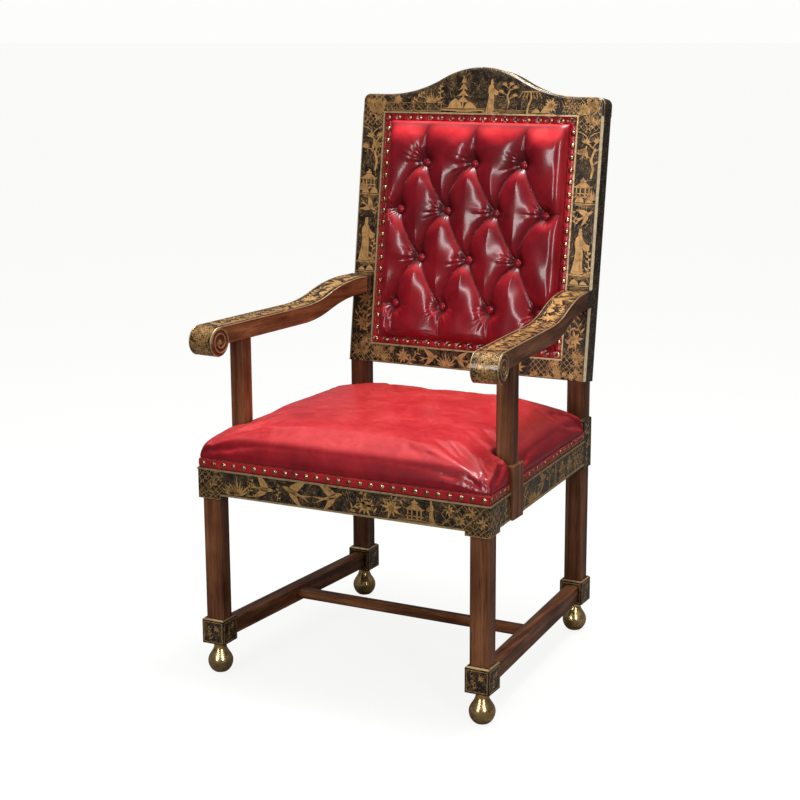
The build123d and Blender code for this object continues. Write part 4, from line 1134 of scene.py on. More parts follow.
def lipped(mesh):
    """Hollows the cushion's underside, so its edge hangs over the rails it is nailed to."""
    front_low, front_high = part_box("tacking_rail_front")
    rear_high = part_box("tacking_rail_rear")[1]
    gap = LIP_GAP
    front_half = front_high.x + gap
    rear_half = front_half - (rear_high.y - front_low.y) * math.tan(SIDE_SLANT)
    front_y, rear_y = front_low.y - gap, rear_high.y + gap
    plan = ((front_half, front_y), (rear_half, rear_y), (-rear_half, rear_y), (-front_half, front_y))
    heights = (RAIL_LOW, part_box("seat_hessian")[1].z + gap)
    done = cut_out(mesh, [loft([[(x, y, z) for x, y in plan] for z in heights])])
    # The cut leaves many-cornered faces, which would take minutes to subdivide
    shape = bmesh.new()
    shape.from_mesh(done)
    many = [face for face in shape.faces if len(face.verts) > 4]
    bmesh.ops.triangulate(shape, faces=many, quad_method="BEAUTY", ngon_method="EAR_CLIP")
    bmesh.ops.dissolve_degenerate(shape, edges=shape.edges, dist=0.02 * MM)
    shape.to_mesh(done)
    shape.free()
    return done


def make_seat():
    mesh = remeshed_seat()
    edge = RAIL_TOP + BAND_HEIGHT
    held = unit((edge + HELD_OVER_BAND - positions(mesh)[:, 2]) / HELD_FADE)
    relax(mesh, held)
    swollen(mesh, held)
    puckered(mesh)
    mesh = lipped(mesh)
    # Painted top light: faces that turn upwards are marked for paler leather
    mark(mesh, "stretch", eased((gathered(mesh.vertex_normals, "vector")[:, 2] - 0.42) / 0.42))
    piece = put("leather_seat", mesh, seat_leather, "seat_leather", "seat_cover", "seat_stuffing")
    smooth = piece.modifiers.new("smooth", "SUBSURF")
    smooth.levels = 1
    smooth.render_levels = 1


make_seat()


# The deep-buttoned back pad, worked out in the back's own plane
PAD_MARGIN = FILLET_WIDTH + BACK_BAND_WIDTH + PAD_GAP
PAD_HALF = OPENING_HALF - PAD_MARGIN
PAD_LOW = OPENING_LOW + PAD_MARGIN
PAD_HIGH = OPENING_HIGH - PAD_MARGIN
PAD_MIDDLE = (PAD_LOW + PAD_HIGH) / 2
PAD_STEP = 1.7 * MM
PAD_BASE = -STRAINER_SETBACK
PAD_RIM = PAD_BASE + 2.5 * MM
PAD_OVERHANG = 2.6 * MM
BUTTON_OUT = PAD_BASE + 0.3 * PAD_HEIGHT
CROWN_OUT = PAD_BASE + 1.26 * PAD_HEIGHT
CREASE_OUT = PAD_BASE + 0.80 * PAD_HEIGHT
TUFT_HALF = 47 * MM
CLEFT_DEPTH = 1.6 * MM
CLEFT_HALF = 2 * MM
WELL_RADIUS = 15 * MM
WRINKLE_DEPTH = 2.6 * MM
WRINKLE_START = 6 * MM
# Broad uneven swells of the pad: waves to the metre, height in millimetres and two phases
PAD_SWELLS = ((70, 0.8, 0.3, 1.1), (44, 1.0, 1.9, 0.4), (120, 0.3, 0.9, 2.0))

# Which way the strongest wrinkles spread, in degrees: from each button of the first and the last
# row, and from every button between
WRINKLE_TURNS = {0: (150, 190, 190), BUTTON_ROWS - 1: (250, 250, 250, 250)}
MIDDLE_WRINKLE_TURN = 185


def button_rows():
    """The buttons' places by row, three and four in turn."""
    rows = []
    for row in range(BUTTON_ROWS):
        count = 4 if row % 2 else 3
        up = BUTTON_HIGH - row * BUTTON_PITCH_DOWN
        rows.append([((i - (count - 1) / 2) * BUTTON_PITCH_ACROSS, up) for i in range(count)])
    return rows


def crease(x0, y0, x1, y1, bow, steps=14):
    """Points along a bowed fold from one place to another."""
    points = []
    for i in range(steps + 1):
        t = i / steps
        push = 4 * t * (1 - t) * bow
        points.append((x0 + (x1 - x0) * t - (y1 - y0) * push, y0 + (y1 - y0) * t + (x1 - x0) * push))
    return points


def pad_creases():
    """Folds between neighbouring buttons, and from the outer ones to the edge."""
    rows = button_rows()
    folds = []
    for upper, lower in zip(rows, rows[1:]):
        for x, up in upper:
            for x2, up2 in lower:
                if abs(x2 - x) < 0.6 * BUTTON_PITCH_ACROSS:
                    folds.append((crease(x, up, x2, up2, -0.13 if x2 < x else -0.05), True))
    loose = [(x, up, x + 3 * MM, PAD_HIGH, 0.03) for x, up in rows[0]]
    loose += [(x, up, x + 2 * MM, PAD_LOW, -0.04) for x, up in rows[-1]]
    for row in (rows[1], rows[3]):
        for x, up in (row[0], row[-1]):
            loose.append((x, up, math.copysign(PAD_HALF, x), up + 1 * MM, 0.03))
    return folds + [(crease(*ends), False) for ends in loose]


def creased(x, up):
    """How near the nearest crease is, how far out its floor stands, and how sharp it is."""
    nearest = np.full(x.shape, 1.0)
    floor = np.full(x.shape, CREASE_OUT)
    sharp = np.full(x.shape, 0.0)
    for points, tied in pad_creases():
        for i, ((x0, y0), (x1, y1)) in enumerate(zip(points, points[1:])):
            dx, dy = x1 - x0, y1 - y0
            t = unit(((x - x0) * dx + (up - y0) * dy) / (dx * dx + dy * dy))
            d = np.hypot(x - x0 - t * dx, up - y0 - t * dy)
            s = (i + t) / (len(points) - 1)
            if tied:
                depth = BUTTON_OUT + (CREASE_OUT - BUTTON_OUT) * (4 * s * (1 - s)) ** 0.7
                cleft = 1.0
            else:
                depth = BUTTON_OUT + (CREASE_OUT + 4.5 * MM - BUTTON_OUT) * s**0.55
                cleft = 1.0 - 0.75 * s
            closer = d < nearest
            nearest = np.where(closer, d, nearest)
            floor = np.where(closer, depth, floor)
            sharp = np.where(closer, cleft, sharp)
    return nearest, floor, sharp


def pad_surface(x, up):
    """How far out the leather stands at each place."""
    nearest, floor, sharp = creased(x, up)
    swell = (1 - (1 - unit(nearest / TUFT_HALF)) ** 1.9) ** 0.72
    out = floor + (CROWN_OUT - floor) * swell
    out = out - CLEFT_DEPTH * sharp * np.exp(-((nearest / CLEFT_HALF) ** 2))
    for row, places in enumerate(button_rows()):
        for i, (button_x, button_up) in enumerate(places):
            r = np.hypot(x - button_x, up - button_up)
            turn = np.arctan2(up - button_up, x - button_x)
            out = BUTTON_OUT + (out - BUTTON_OUT) * (1 - np.exp(-((r / WELL_RADIUS) ** 2.0)))
            chance = random.Random(100 * row + i)
            a, b, c = (chance.uniform(0, math.tau) for _ in range(3))
            warped = turn + 0.14 * np.sin(3 * turn + a) + 0.07 * np.sin(7 * turn + b)
            ripple = np.abs(np.sin(8.5 * warped + c)) ** 0.7 - 0.6
            way = turn - math.radians(WRINKLE_TURNS.get(row, (MIDDLE_WRINKLE_TURN,) * 4)[i])
            lobe = 0.22 + 0.78 * unit(0.5 + 0.5 * np.cos(way)) ** 3
            reach = 11 * MM + 13 * MM * lobe
            fade = np.exp(-np.abs((r - WELL_RADIUS) / reach) ** 2.2)
            fade = fade * unit((r - WRINKLE_START) / WRINKLE_START)
            out = out + ripple * lobe * fade * WRINKLE_DEPTH
    for scale, amount, a, b in PAD_SWELLS:
        out = out + amount * MM * np.sin(scale * x + a) * np.sin(scale * 0.7 * up + b)
    for edge, reach, power in (
        (PAD_HALF - np.abs(x), 24 * MM, 2.3),
        (up - PAD_LOW, 24 * MM, 2.3),
        (PAD_HIGH - up, 56 * MM, 1.6),
    ):
        fall = unit(1 - (1 - unit(edge / reach)) ** power) ** 0.55
        out = PAD_RIM + (out - PAD_RIM) * fall
    return out


def make_pad():
    across = round(2 * PAD_HALF / PAD_STEP)
    high = round((PAD_HIGH - PAD_LOW) / PAD_STEP)
    shape = bmesh.new()
    bmesh.ops.create_grid(shape, x_segments=across, y_segments=high, size=1)
    loop = [e for e in shape.edges if e.is_boundary]
    for level in (-1, -2):
        done = bmesh.ops.extrude_edge_only(shape, edges=loop)["geom"]
        loop = [e for e in done if isinstance(e, bmesh.types.BMEdge)]
        for edge in loop:
            for vert in edge.verts:
                vert.co.z = level
    bmesh.ops.contextual_create(shape, geom=loop)
    pad = outward(shape)
    piece = put("buttoned_pad", pad, back_leather, "tufted_leather_pad", "back_cushion")
    mesh = piece.data
    co = positions(mesh)
    x = co[:, 0] * PAD_HALF
    up = PAD_MIDDLE + co[:, 1] * (PAD_HIGH - PAD_LOW) / 2
    out = pad_surface(x, up)
    height = unit((out - BUTTON_OUT) / (CROWN_OUT - BUTTON_OUT))
    edge = np.minimum(np.minimum(PAD_HALF - np.abs(x), up - PAD_LOW), PAD_HIGH - up)
    height = np.maximum(height, unit(1 - edge / (9 * MM)))
    spread = 1 + np.where(co[:, 2] < -0.5, 0, PAD_OVERHANG / PAD_HALF)
    x = x * spread
    up = PAD_MIDDLE + (up - PAD_MIDDLE) * spread
    out = np.where(co[:, 2] < -0.5, PAD_RIM, out)
    out = np.where(co[:, 2] < -1.5, PAD_BASE, out)
    flat = np.stack([x, up, out, np.ones_like(x)], axis=1)
    give_positions(mesh, (flat @ np.array(back_matrix).T)[:, :3])
    # The height also sets painted shade: the lower the leather sits in a button well or crease, the
    # darker it is
    mark(mesh, "height", height)
    # Painted top light on the pad's upper roll, where its faces turn upwards; the leather is also paler
    # towards both side edges
    tilt = eased((gathered(mesh.vertex_normals, "vector")[:, 2] - 0.20) / 0.34)
    top = np.clip(1 - (PAD_HIGH - up - 70 * MM) / (60 * MM), 0.35, 1)
    side = unit(1 - (PAD_HALF - np.abs(x)) / (16 * MM)) * 0.25
    mark(mesh, "stretch", np.maximum(tilt * top, side))


make_pad()


# The arm's top line, from under its nose round to its rear end
def arc_points(centre, radius, start, end, steps):
    """Places and outward directions round an arc in the arm's own plane."""
    points = []
    for i in range(steps + 1):
        turn = start + (end - start) * i / steps
        n = (math.cos(turn), math.sin(turn))
        points.append((centre[0] + radius * n[0], centre[1] + radius * n[1], *n))
    return points


def arm_top_line():
    """Rows of (y, z, out y, out z), close together along the arm."""
    quarter = math.radians(90)
    nose = (NOSE_Y, ARM_TOP - NOSE_RADIUS)
    line = arc_points(nose, NOSE_RADIUS, math.radians(262), quarter, 44)
    for i in range(1, 61):
        line.append((NOSE_Y + (ARM_RISE_START - NOSE_Y) * i / 60, ARM_TOP, 0, 1))
    turn = 2 * math.atan(ARM_RISE / ARM_RISE_SPAN)
    radii = ARM_RISE_SPAN / math.sin(turn)
    first, second = radii * ARM_INFLEXION, radii * (1 - ARM_INFLEXION)
    hollow = (ARM_RISE_START, ARM_TOP + first)
    rising = arc_points(hollow, first, -quarter, turn - quarter, 30)[1:]
    line += [(y, z, -ny, -nz) for y, z, ny, nz in rising]
    crown = (ARM_RISE_START + ARM_RISE_SPAN, ARM_TOP + ARM_RISE - second)
    line += arc_points(crown, second, quarter + turn, quarter, 30)[1:]
    line.append((ARM_REAR_Y / math.cos(ARM_SPLAY) - 2 * MM, ARM_TOP + ARM_RISE, 0, 1))
    return np.array(line)


arm_line = arm_top_line()
steps_along = np.hypot(np.diff(arm_line[:, 0]), np.diff(arm_line[:, 1]))
arm_run = np.concatenate([[0], np.cumsum(steps_along)])
ARM_LENGTH = float(arm_run[-1])
NOSE_RUN = NOSE_RADIUS * math.radians(172)
SKIN_OUT = 0.3 * MM
SKIN_SUNK = 0.1 * MM
SKIN_HALF = ARM_WIDTH / 2 - 1.6 * MM
ARM_BEAD = 1.25 * MM
ARM_BEAD_INSET, ARM_BEAD_SUNK = 0.7 * MM, 0.5 * MM


def on_arm(run, across, out):
    """A point over the right arm's top: run along it, across it, and out from it."""
    y, z, ny, nz = (float(np.interp(run, arm_run, arm_line[:, i])) for i in range(4))
    return arm_matrix @ Vector((across, y + ny * out, z + nz * out))


def arm_skin(start, end):
    """The japanned skin over an arm's top, from one place along it to another."""
    shape = bmesh.new()
    columns = max(2, round((end - start) / (4 * MM)))
    bmesh.ops.create_grid(shape, x_segments=columns, y_segments=4, size=1)
    bmesh.ops.solidify(shape, geom=shape.faces[:], thickness=1)
    low = min(v.co.z for v in shape.verts)
    for vert in shape.verts:
        run = start + (vert.co.x + 1) / 2 * (end - start)
        out = SKIN_OUT if vert.co.z - low > 0.5 else -SKIN_SUNK
        vert.co = on_arm(min(max(run, 0), ARM_LENGTH), vert.co.y * SKIN_HALF, out)
    return outward(shape)


def arm_edge_bead():
    """Gilt beads along both top edges of an arm, down round the nose."""
    shape = bmesh.new()
    radius = ARM_BEAD
    for side in (1, -1):
        across = side * (ARM_WIDTH / 2 - ARM_BEAD_INSET)
        for along, share, vert in grid(shape, 150, 6):
            turn = share * math.tau
            out = radius * math.sin(turn) - ARM_BEAD_SUNK
            vert.co = on_arm(along * ARM_LENGTH, across + radius * math.cos(turn), out)
    bmesh.ops.remove_doubles(shape, verts=shape.verts, dist=0.01 * MM)
    rims = [e for e in shape.edges if e.is_boundary]
    bmesh.ops.holes_fill(shape, edges=rims, sides=0)
    return outward(shape)


for name, made, material, slot, angle in (
    ("arm_top_japanning_", lambda: arm_skin(NOSE_RUN, ARM_LENGTH), lacquer, "japanned_wood", 30),
    ("arm_nose_japanning_", lambda: arm_skin(0, NOSE_RUN), nose_lacquer, "japanned_wood", 30),
    ("arm_gilt_edges_", arm_edge_bead, gilt_edge, "gilding", 60),
):
    for side in SIDES:
        shape = made()
        if side == "left":
            bmesh.ops.transform(shape, matrix=MIRROR, verts=shape.verts)
            bmesh.ops.reverse_faces(shape, faces=shape.faces)
        sharpen(put(name + side, shape, material, slot), angle)


# Leather bands under the nails: puffed between them, with a double welt on one edge
BAND_PUFF = 1.7 * MM
BAND_STEP = 1.6 * MM
BAND_ROWS = 14
BAND_TUCK = 0.9 * MM
BAND_THICKNESS = 1.2 * MM
NAIL_PULL = 5.5 * MM
WELT = 1.1 * MM
LOW_WELT, HIGH_WELTS = (0.07,), (0.93, 0.84)
UP = Vector((0, 0, 1))


def quilted_strip(shape, length, width, nails, place, welts):
    """One strip of band; place takes along, across and out from its face."""
    nails = np.array(sorted(nails)) if nails else np.array([-1.0])
    for run, share, vert in grid(shape, max(4, round(length / BAND_STEP)), BAND_ROWS):
        along = run * length
        near = float(np.abs(nails - along).min())
        pull = math.exp(-((near / NAIL_PULL) ** 2))
        middle = math.sin(math.pi * min(max((share - 0.08) / 0.84, 0), 1))
        out = BAND_PUFF * middle**0.6 * (1 - 0.95 * pull)
        out += 0.25 * MM * math.sin(along * 900) * middle * (1 - pull)
        out += sum(WELT * math.exp(-(((share - spot) / 0.045) ** 2)) for spot in welts)
        if share < 0.01 or share > 0.99:
            out = -BAND_TUCK
        vert.co = place(along, share * width, out)


def flat_strip(shape, start, end, across, width, nails, matrix, welts):
    """A strip of band between two places of a plane, with the nails that stand on it."""
    length = (end - start).length
    along = (end - start).normalized()
    out = along.cross(across)
    here = []
    for nail in nails:
        run, aside = (nail - start).dot(along), (nail - start).dot(across)
        if 0 < aside < width and 0 < run < length:
            here.append(run)

    def place(a, b, c):
        return matrix @ (start + along * a + across * b + out * c)

    quilted_strip(shape, length, width, here, place, welts)


def nails_of(node, matrix):
    return [matrix @ Vector(flat_side(corners)[0]) for corners in islands(node)]


def band_runs():
    """Each straight face of the seat's border band in plan, from its start to its end."""
    for corners in islands("seat_border_band"):
        low, high = corners.min(0), corners.max(0)
        lean = (high[1] - low[1]) * math.tan(SIDE_SLANT)
        right = ((high[0], low[1]), (high[0] - lean, high[1]))
        left = ((low[0] + lean, high[1]), (low[0], low[1]))
        if len(corners) > 12:
            yield (low[0], low[1]), (high[0], low[1])
            yield right
            yield left
        elif high[0] - low[0] > high[1] - low[1]:
            yield (high[0], high[1]), (low[0], high[1])
        else:
            yield right if high[0] > 0 else left


def seat_band():
    shape = bmesh.new()
    nails = nails_of("seat_nails", Matrix())
    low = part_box("seat_border_band")[0].z
    for start, end in band_runs():
        start, end = Vector((*start, low)), Vector((*end, low))
        out = (end - start).normalized().cross(UP)
        near = [nail for nail in nails if abs((nail - start).dot(out)) < 2 * MM]
        flat_strip(shape, start, end, UP, BAND_HEIGHT, near, Matrix(), LOW_WELT + HIGH_WELTS)
    return thickened(outward(shape), BAND_THICKNESS)


def back_band():
    shape = bmesh.new()
    nails = nails_of("back_nails", back_matrix.inverted())
    half = OPENING_HALF - FILLET_WIDTH
    low, high = OPENING_LOW + FILLET_WIDTH, OPENING_HIGH - FILLET_WIDTH
    width, face = BACK_BAND_WIDTH, PAD_BASE + 2 * MM
    for start, end, inward in (
        ((-half, low), (half, low), (0, 1, 0)),
        ((half, high), (-half, high), (0, -1, 0)),
        ((half, low + width), (half, high - width), (-1, 0, 0)),
        ((-half, high - width), (-half, low + width), (1, 0, 0)),
    ):
        start, end = Vector((*start, face)), Vector((*end, face))
        flat_strip(shape, start, end, Vector(inward), width, nails, back_matrix, LOW_WELT)
    return thickened(outward(shape), BAND_THICKNESS)


put("quilted_seat_band", seat_band(), band_leather, "seat_leather", "seat_border_band")
put("quilted_back_band", back_band(), band_leather, "back_leather", "back_border_band")


# Webbing and hessian under the seat, and the leather nailed over the back of the frame
OUTSIDE_FACE = -STRAINER_SETBACK - 35.95 * MM
CLOTH_STEP = 5 * MM
WEAVE_LIFT = 0.72 * MM
WEB_THICKNESS, SACKING_THICKNESS, COVER_THICKNESS = 1.1 * MM, 0.6 * MM, 1.3 * MM
COVER_GAP = 0.4 * MM
COVER_PUFF, COVER_HOLLOW = 0.7 * MM, 2.2 * MM
COVER_NAIL_PULL = 9 * MM
COVER_MARGIN = 22 * MM


def seat_webbing():
    """Strips across and lengthways, each over one and under the next."""
    shape = bmesh.new()
    rail_low, rail_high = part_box("tacking_rail_front")
    web_low, web_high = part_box("seat_webbing")
    middle_z = (web_low.z + web_high.z) / 2
    boxes = [(tuple(corners.min(0)), tuple(corners.max(0))) for corners in islands("seat_webbing")]
    ways = []
    for axis in (1, 0):
        group = [(a, b) for a, b in boxes if (b[1] - a[1] > b[0] - a[0]) == (axis == 1)]
        ways.append(sorted(group, key=lambda strip: strip[0][1 - axis]))
    for axis, sign, group, others in ((1, 1, ways[0], ways[1]), (0, -1, ways[1], ways[0])):
        start, after = ((others[i][0][axis] + others[i][1][axis]) / 2 for i in (0, 1))
        for i, (a, b) in enumerate(group):
            cells = [max(10, round((b[k] - a[k]) / CLOTH_STEP)) for k in (0, 1)]
            for along, share, vert in grid(shape, *cells):
                x, y = a[0] + along * (b[0] - a[0]), a[1] + share * (b[1] - a[1])
                weave = math.cos(math.pi * ((x, y)[axis] - start) / (after - start))
                level = WEAVE_LIFT * sign * (-1) ** i * weave
                room = rail_high.x - 4 * MM - (y - rail_low.y) * math.tan(SIDE_SLANT)
                vert.co = (max(-room, min(room, x)), y, middle_z + level + 0.6 * MM)
    return thickened(outward(shape), WEB_THICKNESS, UP)


def seat_sacking():
    """The hessian over the webbing, cut away round the brackets and rear blocks."""
    shape = bmesh.new()
    low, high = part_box("seat_hessian")
    step = CLOTH_STEP
    for along, share, vert in grid(shape, *(round((high[k] - low[k]) / step) for k in (0, 1))):
        y = low.y + share * (high.y - low.y)
        half = high.x - 1.5 * MM - (y - low.y) * math.tan(SIDE_SLANT)
        x = (2 * along - 1) * half
        ease = 0.15 * MM * math.sin(61 * x + 2) * math.sin(47 * y)
        vert.co = (x, y, high.z - 0.2 * MM + ease)
    gone = set()
    for side in SIDES:
        for node in ("arm_bracket_", "rear_corner_block_"):
            a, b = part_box(node + side)
            inner = abs(b.x if side == "left" else a.x)
            for vert in shape.verts:
                x, y, _ = vert.co
                inside = a.x - step < x < b.x + step and a.y - step < y < b.y + step
                behind = node == "rear_corner_block_" and abs(x) > inner - step and y > a.y - step
                if inside or behind:
                    gone.add(vert)
    bmesh.ops.delete(shape, geom=list(gone), context="VERTS")
    return thickened(shape, SACKING_THICKNESS, UP)


def outside_cover():
    """Leather drawn over the back of the frame, a little puffed between its nails."""
    shape = bmesh.new()
    nails = np.array(nails_of("outside_back_nails", back_matrix.inverted()))
    middle = (OPENING_LOW + OPENING_HIGH) / 2
    tall = (OPENING_HIGH - OPENING_LOW) / 2 - COVER_GAP
    half = OPENING_HALF - COVER_GAP
    for along, share, vert in grid(shape, *(round(size / (2 * MM)) for size in (half, tall))):
        a, b = 2 * along - 1, 2 * share - 1
        x, up = a * half, middle + b * tall
        near = float(np.hypot(nails[:, 0] - x, nails[:, 1] - up).min())
        margin = min((1 - abs(a)) * half, (1 - abs(b)) * tall)
        by_nails = math.exp(-((margin / COVER_MARGIN) ** 2))
        puff = COVER_PUFF * (1 - math.exp(-((near / COVER_NAIL_PULL) ** 2))) * by_nails
        hollow = COVER_HOLLOW * (1 - a**2) ** 2 * (1 - b**2) ** 2
        vert.co = back_matrix @ Vector((x, up, OUTSIDE_FACE - puff + hollow))
    return thickened(outward(shape), COVER_THICKNESS, (0, 1, 0))


put("woven_webbing", seat_webbing(), linen, "linen_webbing", "seat_webbing")
put("seat_sacking", seat_sacking(), sacking, "hessian", "seat_hessian")
outside_piece = put(
    "outside_leather", outside_cover(), band_leather, "back_leather", "outside_back_cover"
)


# Gilt lines along the edges of the japanned pieces
LINE_LIFT = 0.12 * MM
LINE_THICKNESS = 0.3 * MM
RIM_LIFT = 0.1 * MM
RIM_THICKNESS = 0.25 * MM
RIM_START, RIM_SHARE = 0.06, 0.88
CREST_LINE_TURNS = (math.radians(58), math.radians(76))


def ribbon(shape, pairs):
    """A narrow strip on the back frame between pairs of places on its two edges."""
    last = len(pairs) - 1
    for along, share, vert in grid(shape, last):
        inner, outer = pairs[round(along * last)]
        vert.co = back_matrix @ inner.lerp(outer, share)


def stile_chamfer_gilding():
    """The gilt chamfers down both outer front edges of the back."""
    shape = bmesh.new()
    lift = LINE_LIFT
    for side in (1, -1):
        inner = side * (BACK_HALF - FRAME_CHAMFER + 0.4 * MM)
        outer = side * (BACK_HALF + lift - 0.2 * MM)
        pairs = []
        for up in (0.3 * MM, BACK_CORNER_UP * 0.5, OPENING_HIGH - 0.3 * MM):
            low = Vector((inner, up, lift - 0.25 * MM))
            pairs.append((low, Vector((outer, up, 0.4 * MM - FRAME_CHAMFER))))
        ribbon(shape, pairs)
    return thickened(shape, LINE_THICKNESS)


def crest_edge(steps=24):
    """The crest's outer edge on the right, as (x, up, outward x, outward up)."""
    radius = CREST_CORNER_RADIUS
    edge = [(BACK_HALF, OPENING_HIGH + 0.2 * MM, 1, 0)]
    corner = (BACK_HALF - radius, BACK_CORNER_UP - radius)
    edge += arc_points(corner, radius, 0, math.pi / 2, 8)
    turn = 2 * math.atan(CREST_RISE / CREST_HALF_SPAN)
    radii = CREST_HALF_SPAN / math.sin(turn)
    low, high = radii * (1 - CREST_INFLEXION), radii * CREST_INFLEXION
    for i in range(steps + 1):
        a = turn * i / steps
        x = CREST_HALF_SPAN - low * math.sin(a)
        edge.append((x, BACK_CORNER_UP + low - low * math.cos(a), math.sin(a), math.cos(a)))
    peak = BACK_CORNER_UP + CREST_RISE
    for i in range(1, steps + 1):
        a = turn * (1 - i / steps)
        edge.append((high * math.sin(a), peak - high + high * math.cos(a), math.sin(a), math.cos(a)))
    return edge


def crest_edge_gilding():
    """A gilt line along the rounded upper edge of the crest."""
    shape = bmesh.new()
    radius, over = CREST_EDGE_ROUND, CREST_EDGE_ROUND + LINE_LIFT
    for side in (1, -1):
        pairs = []
        for x, up, nx, ny in crest_edge():
            ends = []
            for turn in CREST_LINE_TURNS:
                inset, out = radius - over * math.sin(turn), over * math.cos(turn) - radius
                ends.append(Vector((side * (x - nx * inset), up - ny * inset, out)))
            pairs.append(ends)
        ribbon(shape, pairs)
    return thickened(shape, LINE_THICKNESS)


def bevel_ring(node):
    """A gilt strip on the bevel round the top of a block."""
    low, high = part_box(node)
    shape = bmesh.new()
    lift = RIM_LIFT
    corners = ((low.x, low.y), (high.x, low.y), (high.x, high.y), (low.x, high.y))
    corners = [Vector((x, y, 0)) for x, y in corners]
    middle = Vector(((low.x + high.x) / 2, (low.y + high.y) / 2, 0))
    for a, b in zip(corners, corners[1:] + corners[:1]):
        inward = UP.cross(b - a).normalized()
        for along, share, vert in grid(shape, 1):
            share = RIM_START + RIM_SHARE * share
            spot = a.lerp(b, along)
            spot += (middle - spot) * (PLINTH_BEVEL * share / abs((middle - spot).dot(inward)))
            vert.co = spot + UP * (high.z - PLINTH_BEVEL * (1 - share) + lift) - inward * lift
    return thickened(shape, RIM_THICKNESS)


put("back_chamfer_gilding", stile_chamfer_gilding(), pale_gilt, "gilding", smooth=False)
put("crest_edge_gilding", crest_edge_gilding(), gilt_edge, "gilding")
for node in sorted("plinth_block_" + corner for corner in CORNERS):
    put("gilt_rim_" + node, bevel_ring(node), gilt_edge, "gilding", smooth=False)


# The gold drawings on each japanned face
RAIL_FACE = 52 * MM
RAIL_UNDER = RAIL_TOP - RAIL_FACE
RAIL_DRAWN = RAIL_FACE - 2 * BEAD
SIDE_RUN = (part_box("rear_corner_block_right")[0].y - RAIL_FRONT_Y) / math.cos(SIDE_SLANT)


def front_rail_drawing():
    length = 2 * RAIL_FRONT_HALF
    d = Drawing(0.3 * MM, BEAD, length - 0.3 * MM, BEAD + RAIL_DRAWN)
    lattice(d, 2 * MM, BEAD, 0.09 * length, RAIL_DRAWN, 15 * MM)
    motifs(
        d, length, BEAD,
        (spray, 0.03, 0, 44, 0.8, 6),
        (fan_tree, 0.145, 1, 40),
        (fan_tree, 0.118, 1, 26),
        (swallow, 0.232, 22.4, 62, -0.10),
        (spray, 0.175, 1, 34, 0.9, 6),
        (swallow, 0.352, 22.4, 66, -0.30, -1),
        (spray, 0.285, 0, 30, 1.2, 5),
        (swallow, 0.470, 23.44, 66, 0.30),
        (spray, 0.535, 1, 46, 0.9, 7, -0.3),
        (star_flower, 0.592, 17.2, 42, 10),
        (spray, 0.625, 2, 44, 1.9, 6),
        (star_flower, 0.680, 20.32, 44),
        (spray, 0.645, 36.96, 44, -0.2, 6),
        (pavilion, 0.757, 3, 38),
        (robed_figure, 0.812, 2, 42, -1),
        (water, 0.765, 3, 90, 2),
    )
    lattice(d, 0.845 * length, BEAD, 0.155 * length, RAIL_DRAWN, 22 * MM)
    for i, share in enumerate((0.87, 0.905, 0.94, 0.975)):
        star_flower(d, share * length, (0.34 if i % 2 else 0.66) * RAIL_FACE, 26 * MM, 8, i)
    scratches(d, 0, BEAD, length, RAIL_DRAWN, 200, 3, 13)
    return d


def ear_drawing():
    """The drop below the rail at a front corner, from the corner inwards."""
    d = Drawing(0.2 * MM, -EAR_DROP, EAR_LENGTH, BEAD)
    line, left, right, low = 1.1 * MM, 0.3 * MM, EAR_LENGTH - 0.3 * MM, 0.3 * MM - EAR_DROP
    d.bar(left, low, right, low + line)
    d.bar(left, low, left + line, 0)
    d.bar(right - line, low, right, 0)
    lattice(d, 1 * MM, 1 * MM - EAR_DROP, EAR_LENGTH - 2 * MM, EAR_DROP + BEAD - 1 * MM, 11 * MM, False)
    return d


def side_rail_drawing():
    d = Drawing(0.3 * MM, BEAD, SIDE_RUN, BEAD + RAIL_DRAWN)
    lattice(d, 2 * MM, BEAD, 0.10 * SIDE_RUN, RAIL_DRAWN, 18 * MM)
    motifs(
        d, SIDE_RUN, BEAD,
        (spray, 0.14, 0, 46, 1.3, 7),
        (tree, 0.335, 0, 46),
        (fan_tree, 0.40, 0, 36),
        (rocks, 0.46, 3, 44),
        (swallow, 0.52, 26.56, 52, 0.3),
        (tree, 0.60, 0, 46, -1),
        (robed_figure, 0.665, 1, 42),
        (pavilion, 0.74, 1, 38),
        (star_flower, 0.82, 21.36, 42),
    )
    lattice(d, 0.87 * SIDE_RUN, BEAD, 0.12 * SIDE_RUN, RAIL_DRAWN, 18 * MM)
    spray(d, 0.90 * SIDE_RUN, BEAD, 44 * MM, 1.8, 7)
    scratches(d, 0, BEAD, SIDE_RUN, RAIL_DRAWN, 160, 8, 13)
    return d


def rear_rail_drawing():
    d = Drawing()
    length = 2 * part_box("seat_rail_rear")[1].x
    motifs(
        d, length, RAIL_FACE / 2,
        (swallow, 0.2, 0, 40, 0.2, 1),
        (swallow, 0.5, 0, 40, -0.2, -1),
        (swallow, 0.8, 0, 40, 0.2, 1),
        (star_flower, 0.35, 0, 32),
        (star_flower, 0.65, 0, 32),
    )
    scratches(d, 0, 2 * MM, length, RAIL_FACE - 4 * MM, 90, 9)
    return d


def panel_drawing(width, height, seed):
    """A bordered panel with a spray and a star, as on the plinth blocks."""
    d = Drawing()
    line, inset = 1.1 * MM, 3 * MM
    inner, right, top = inset + line, width - inset, height - inset
    d.bar(inset, inset, right, inner)
    d.bar(inset, top - line, right, top)
    d.bar(inset, inner, inner, top - line)
    d.bar(right - line, inner, right, top - line)
    chance = random.Random(seed)
    spray(d, width * 0.34, height * 0.16, height * 0.5, 1.2 + chance.uniform(-0.2, 0.2), 6)
    star_flower(d, width * 0.66, height * 0.66, height * 0.34, 7, chance.uniform(0, 1))
    scratches(d, inset, inset, right - inset, top - inset, 26, seed, 7)
    return d


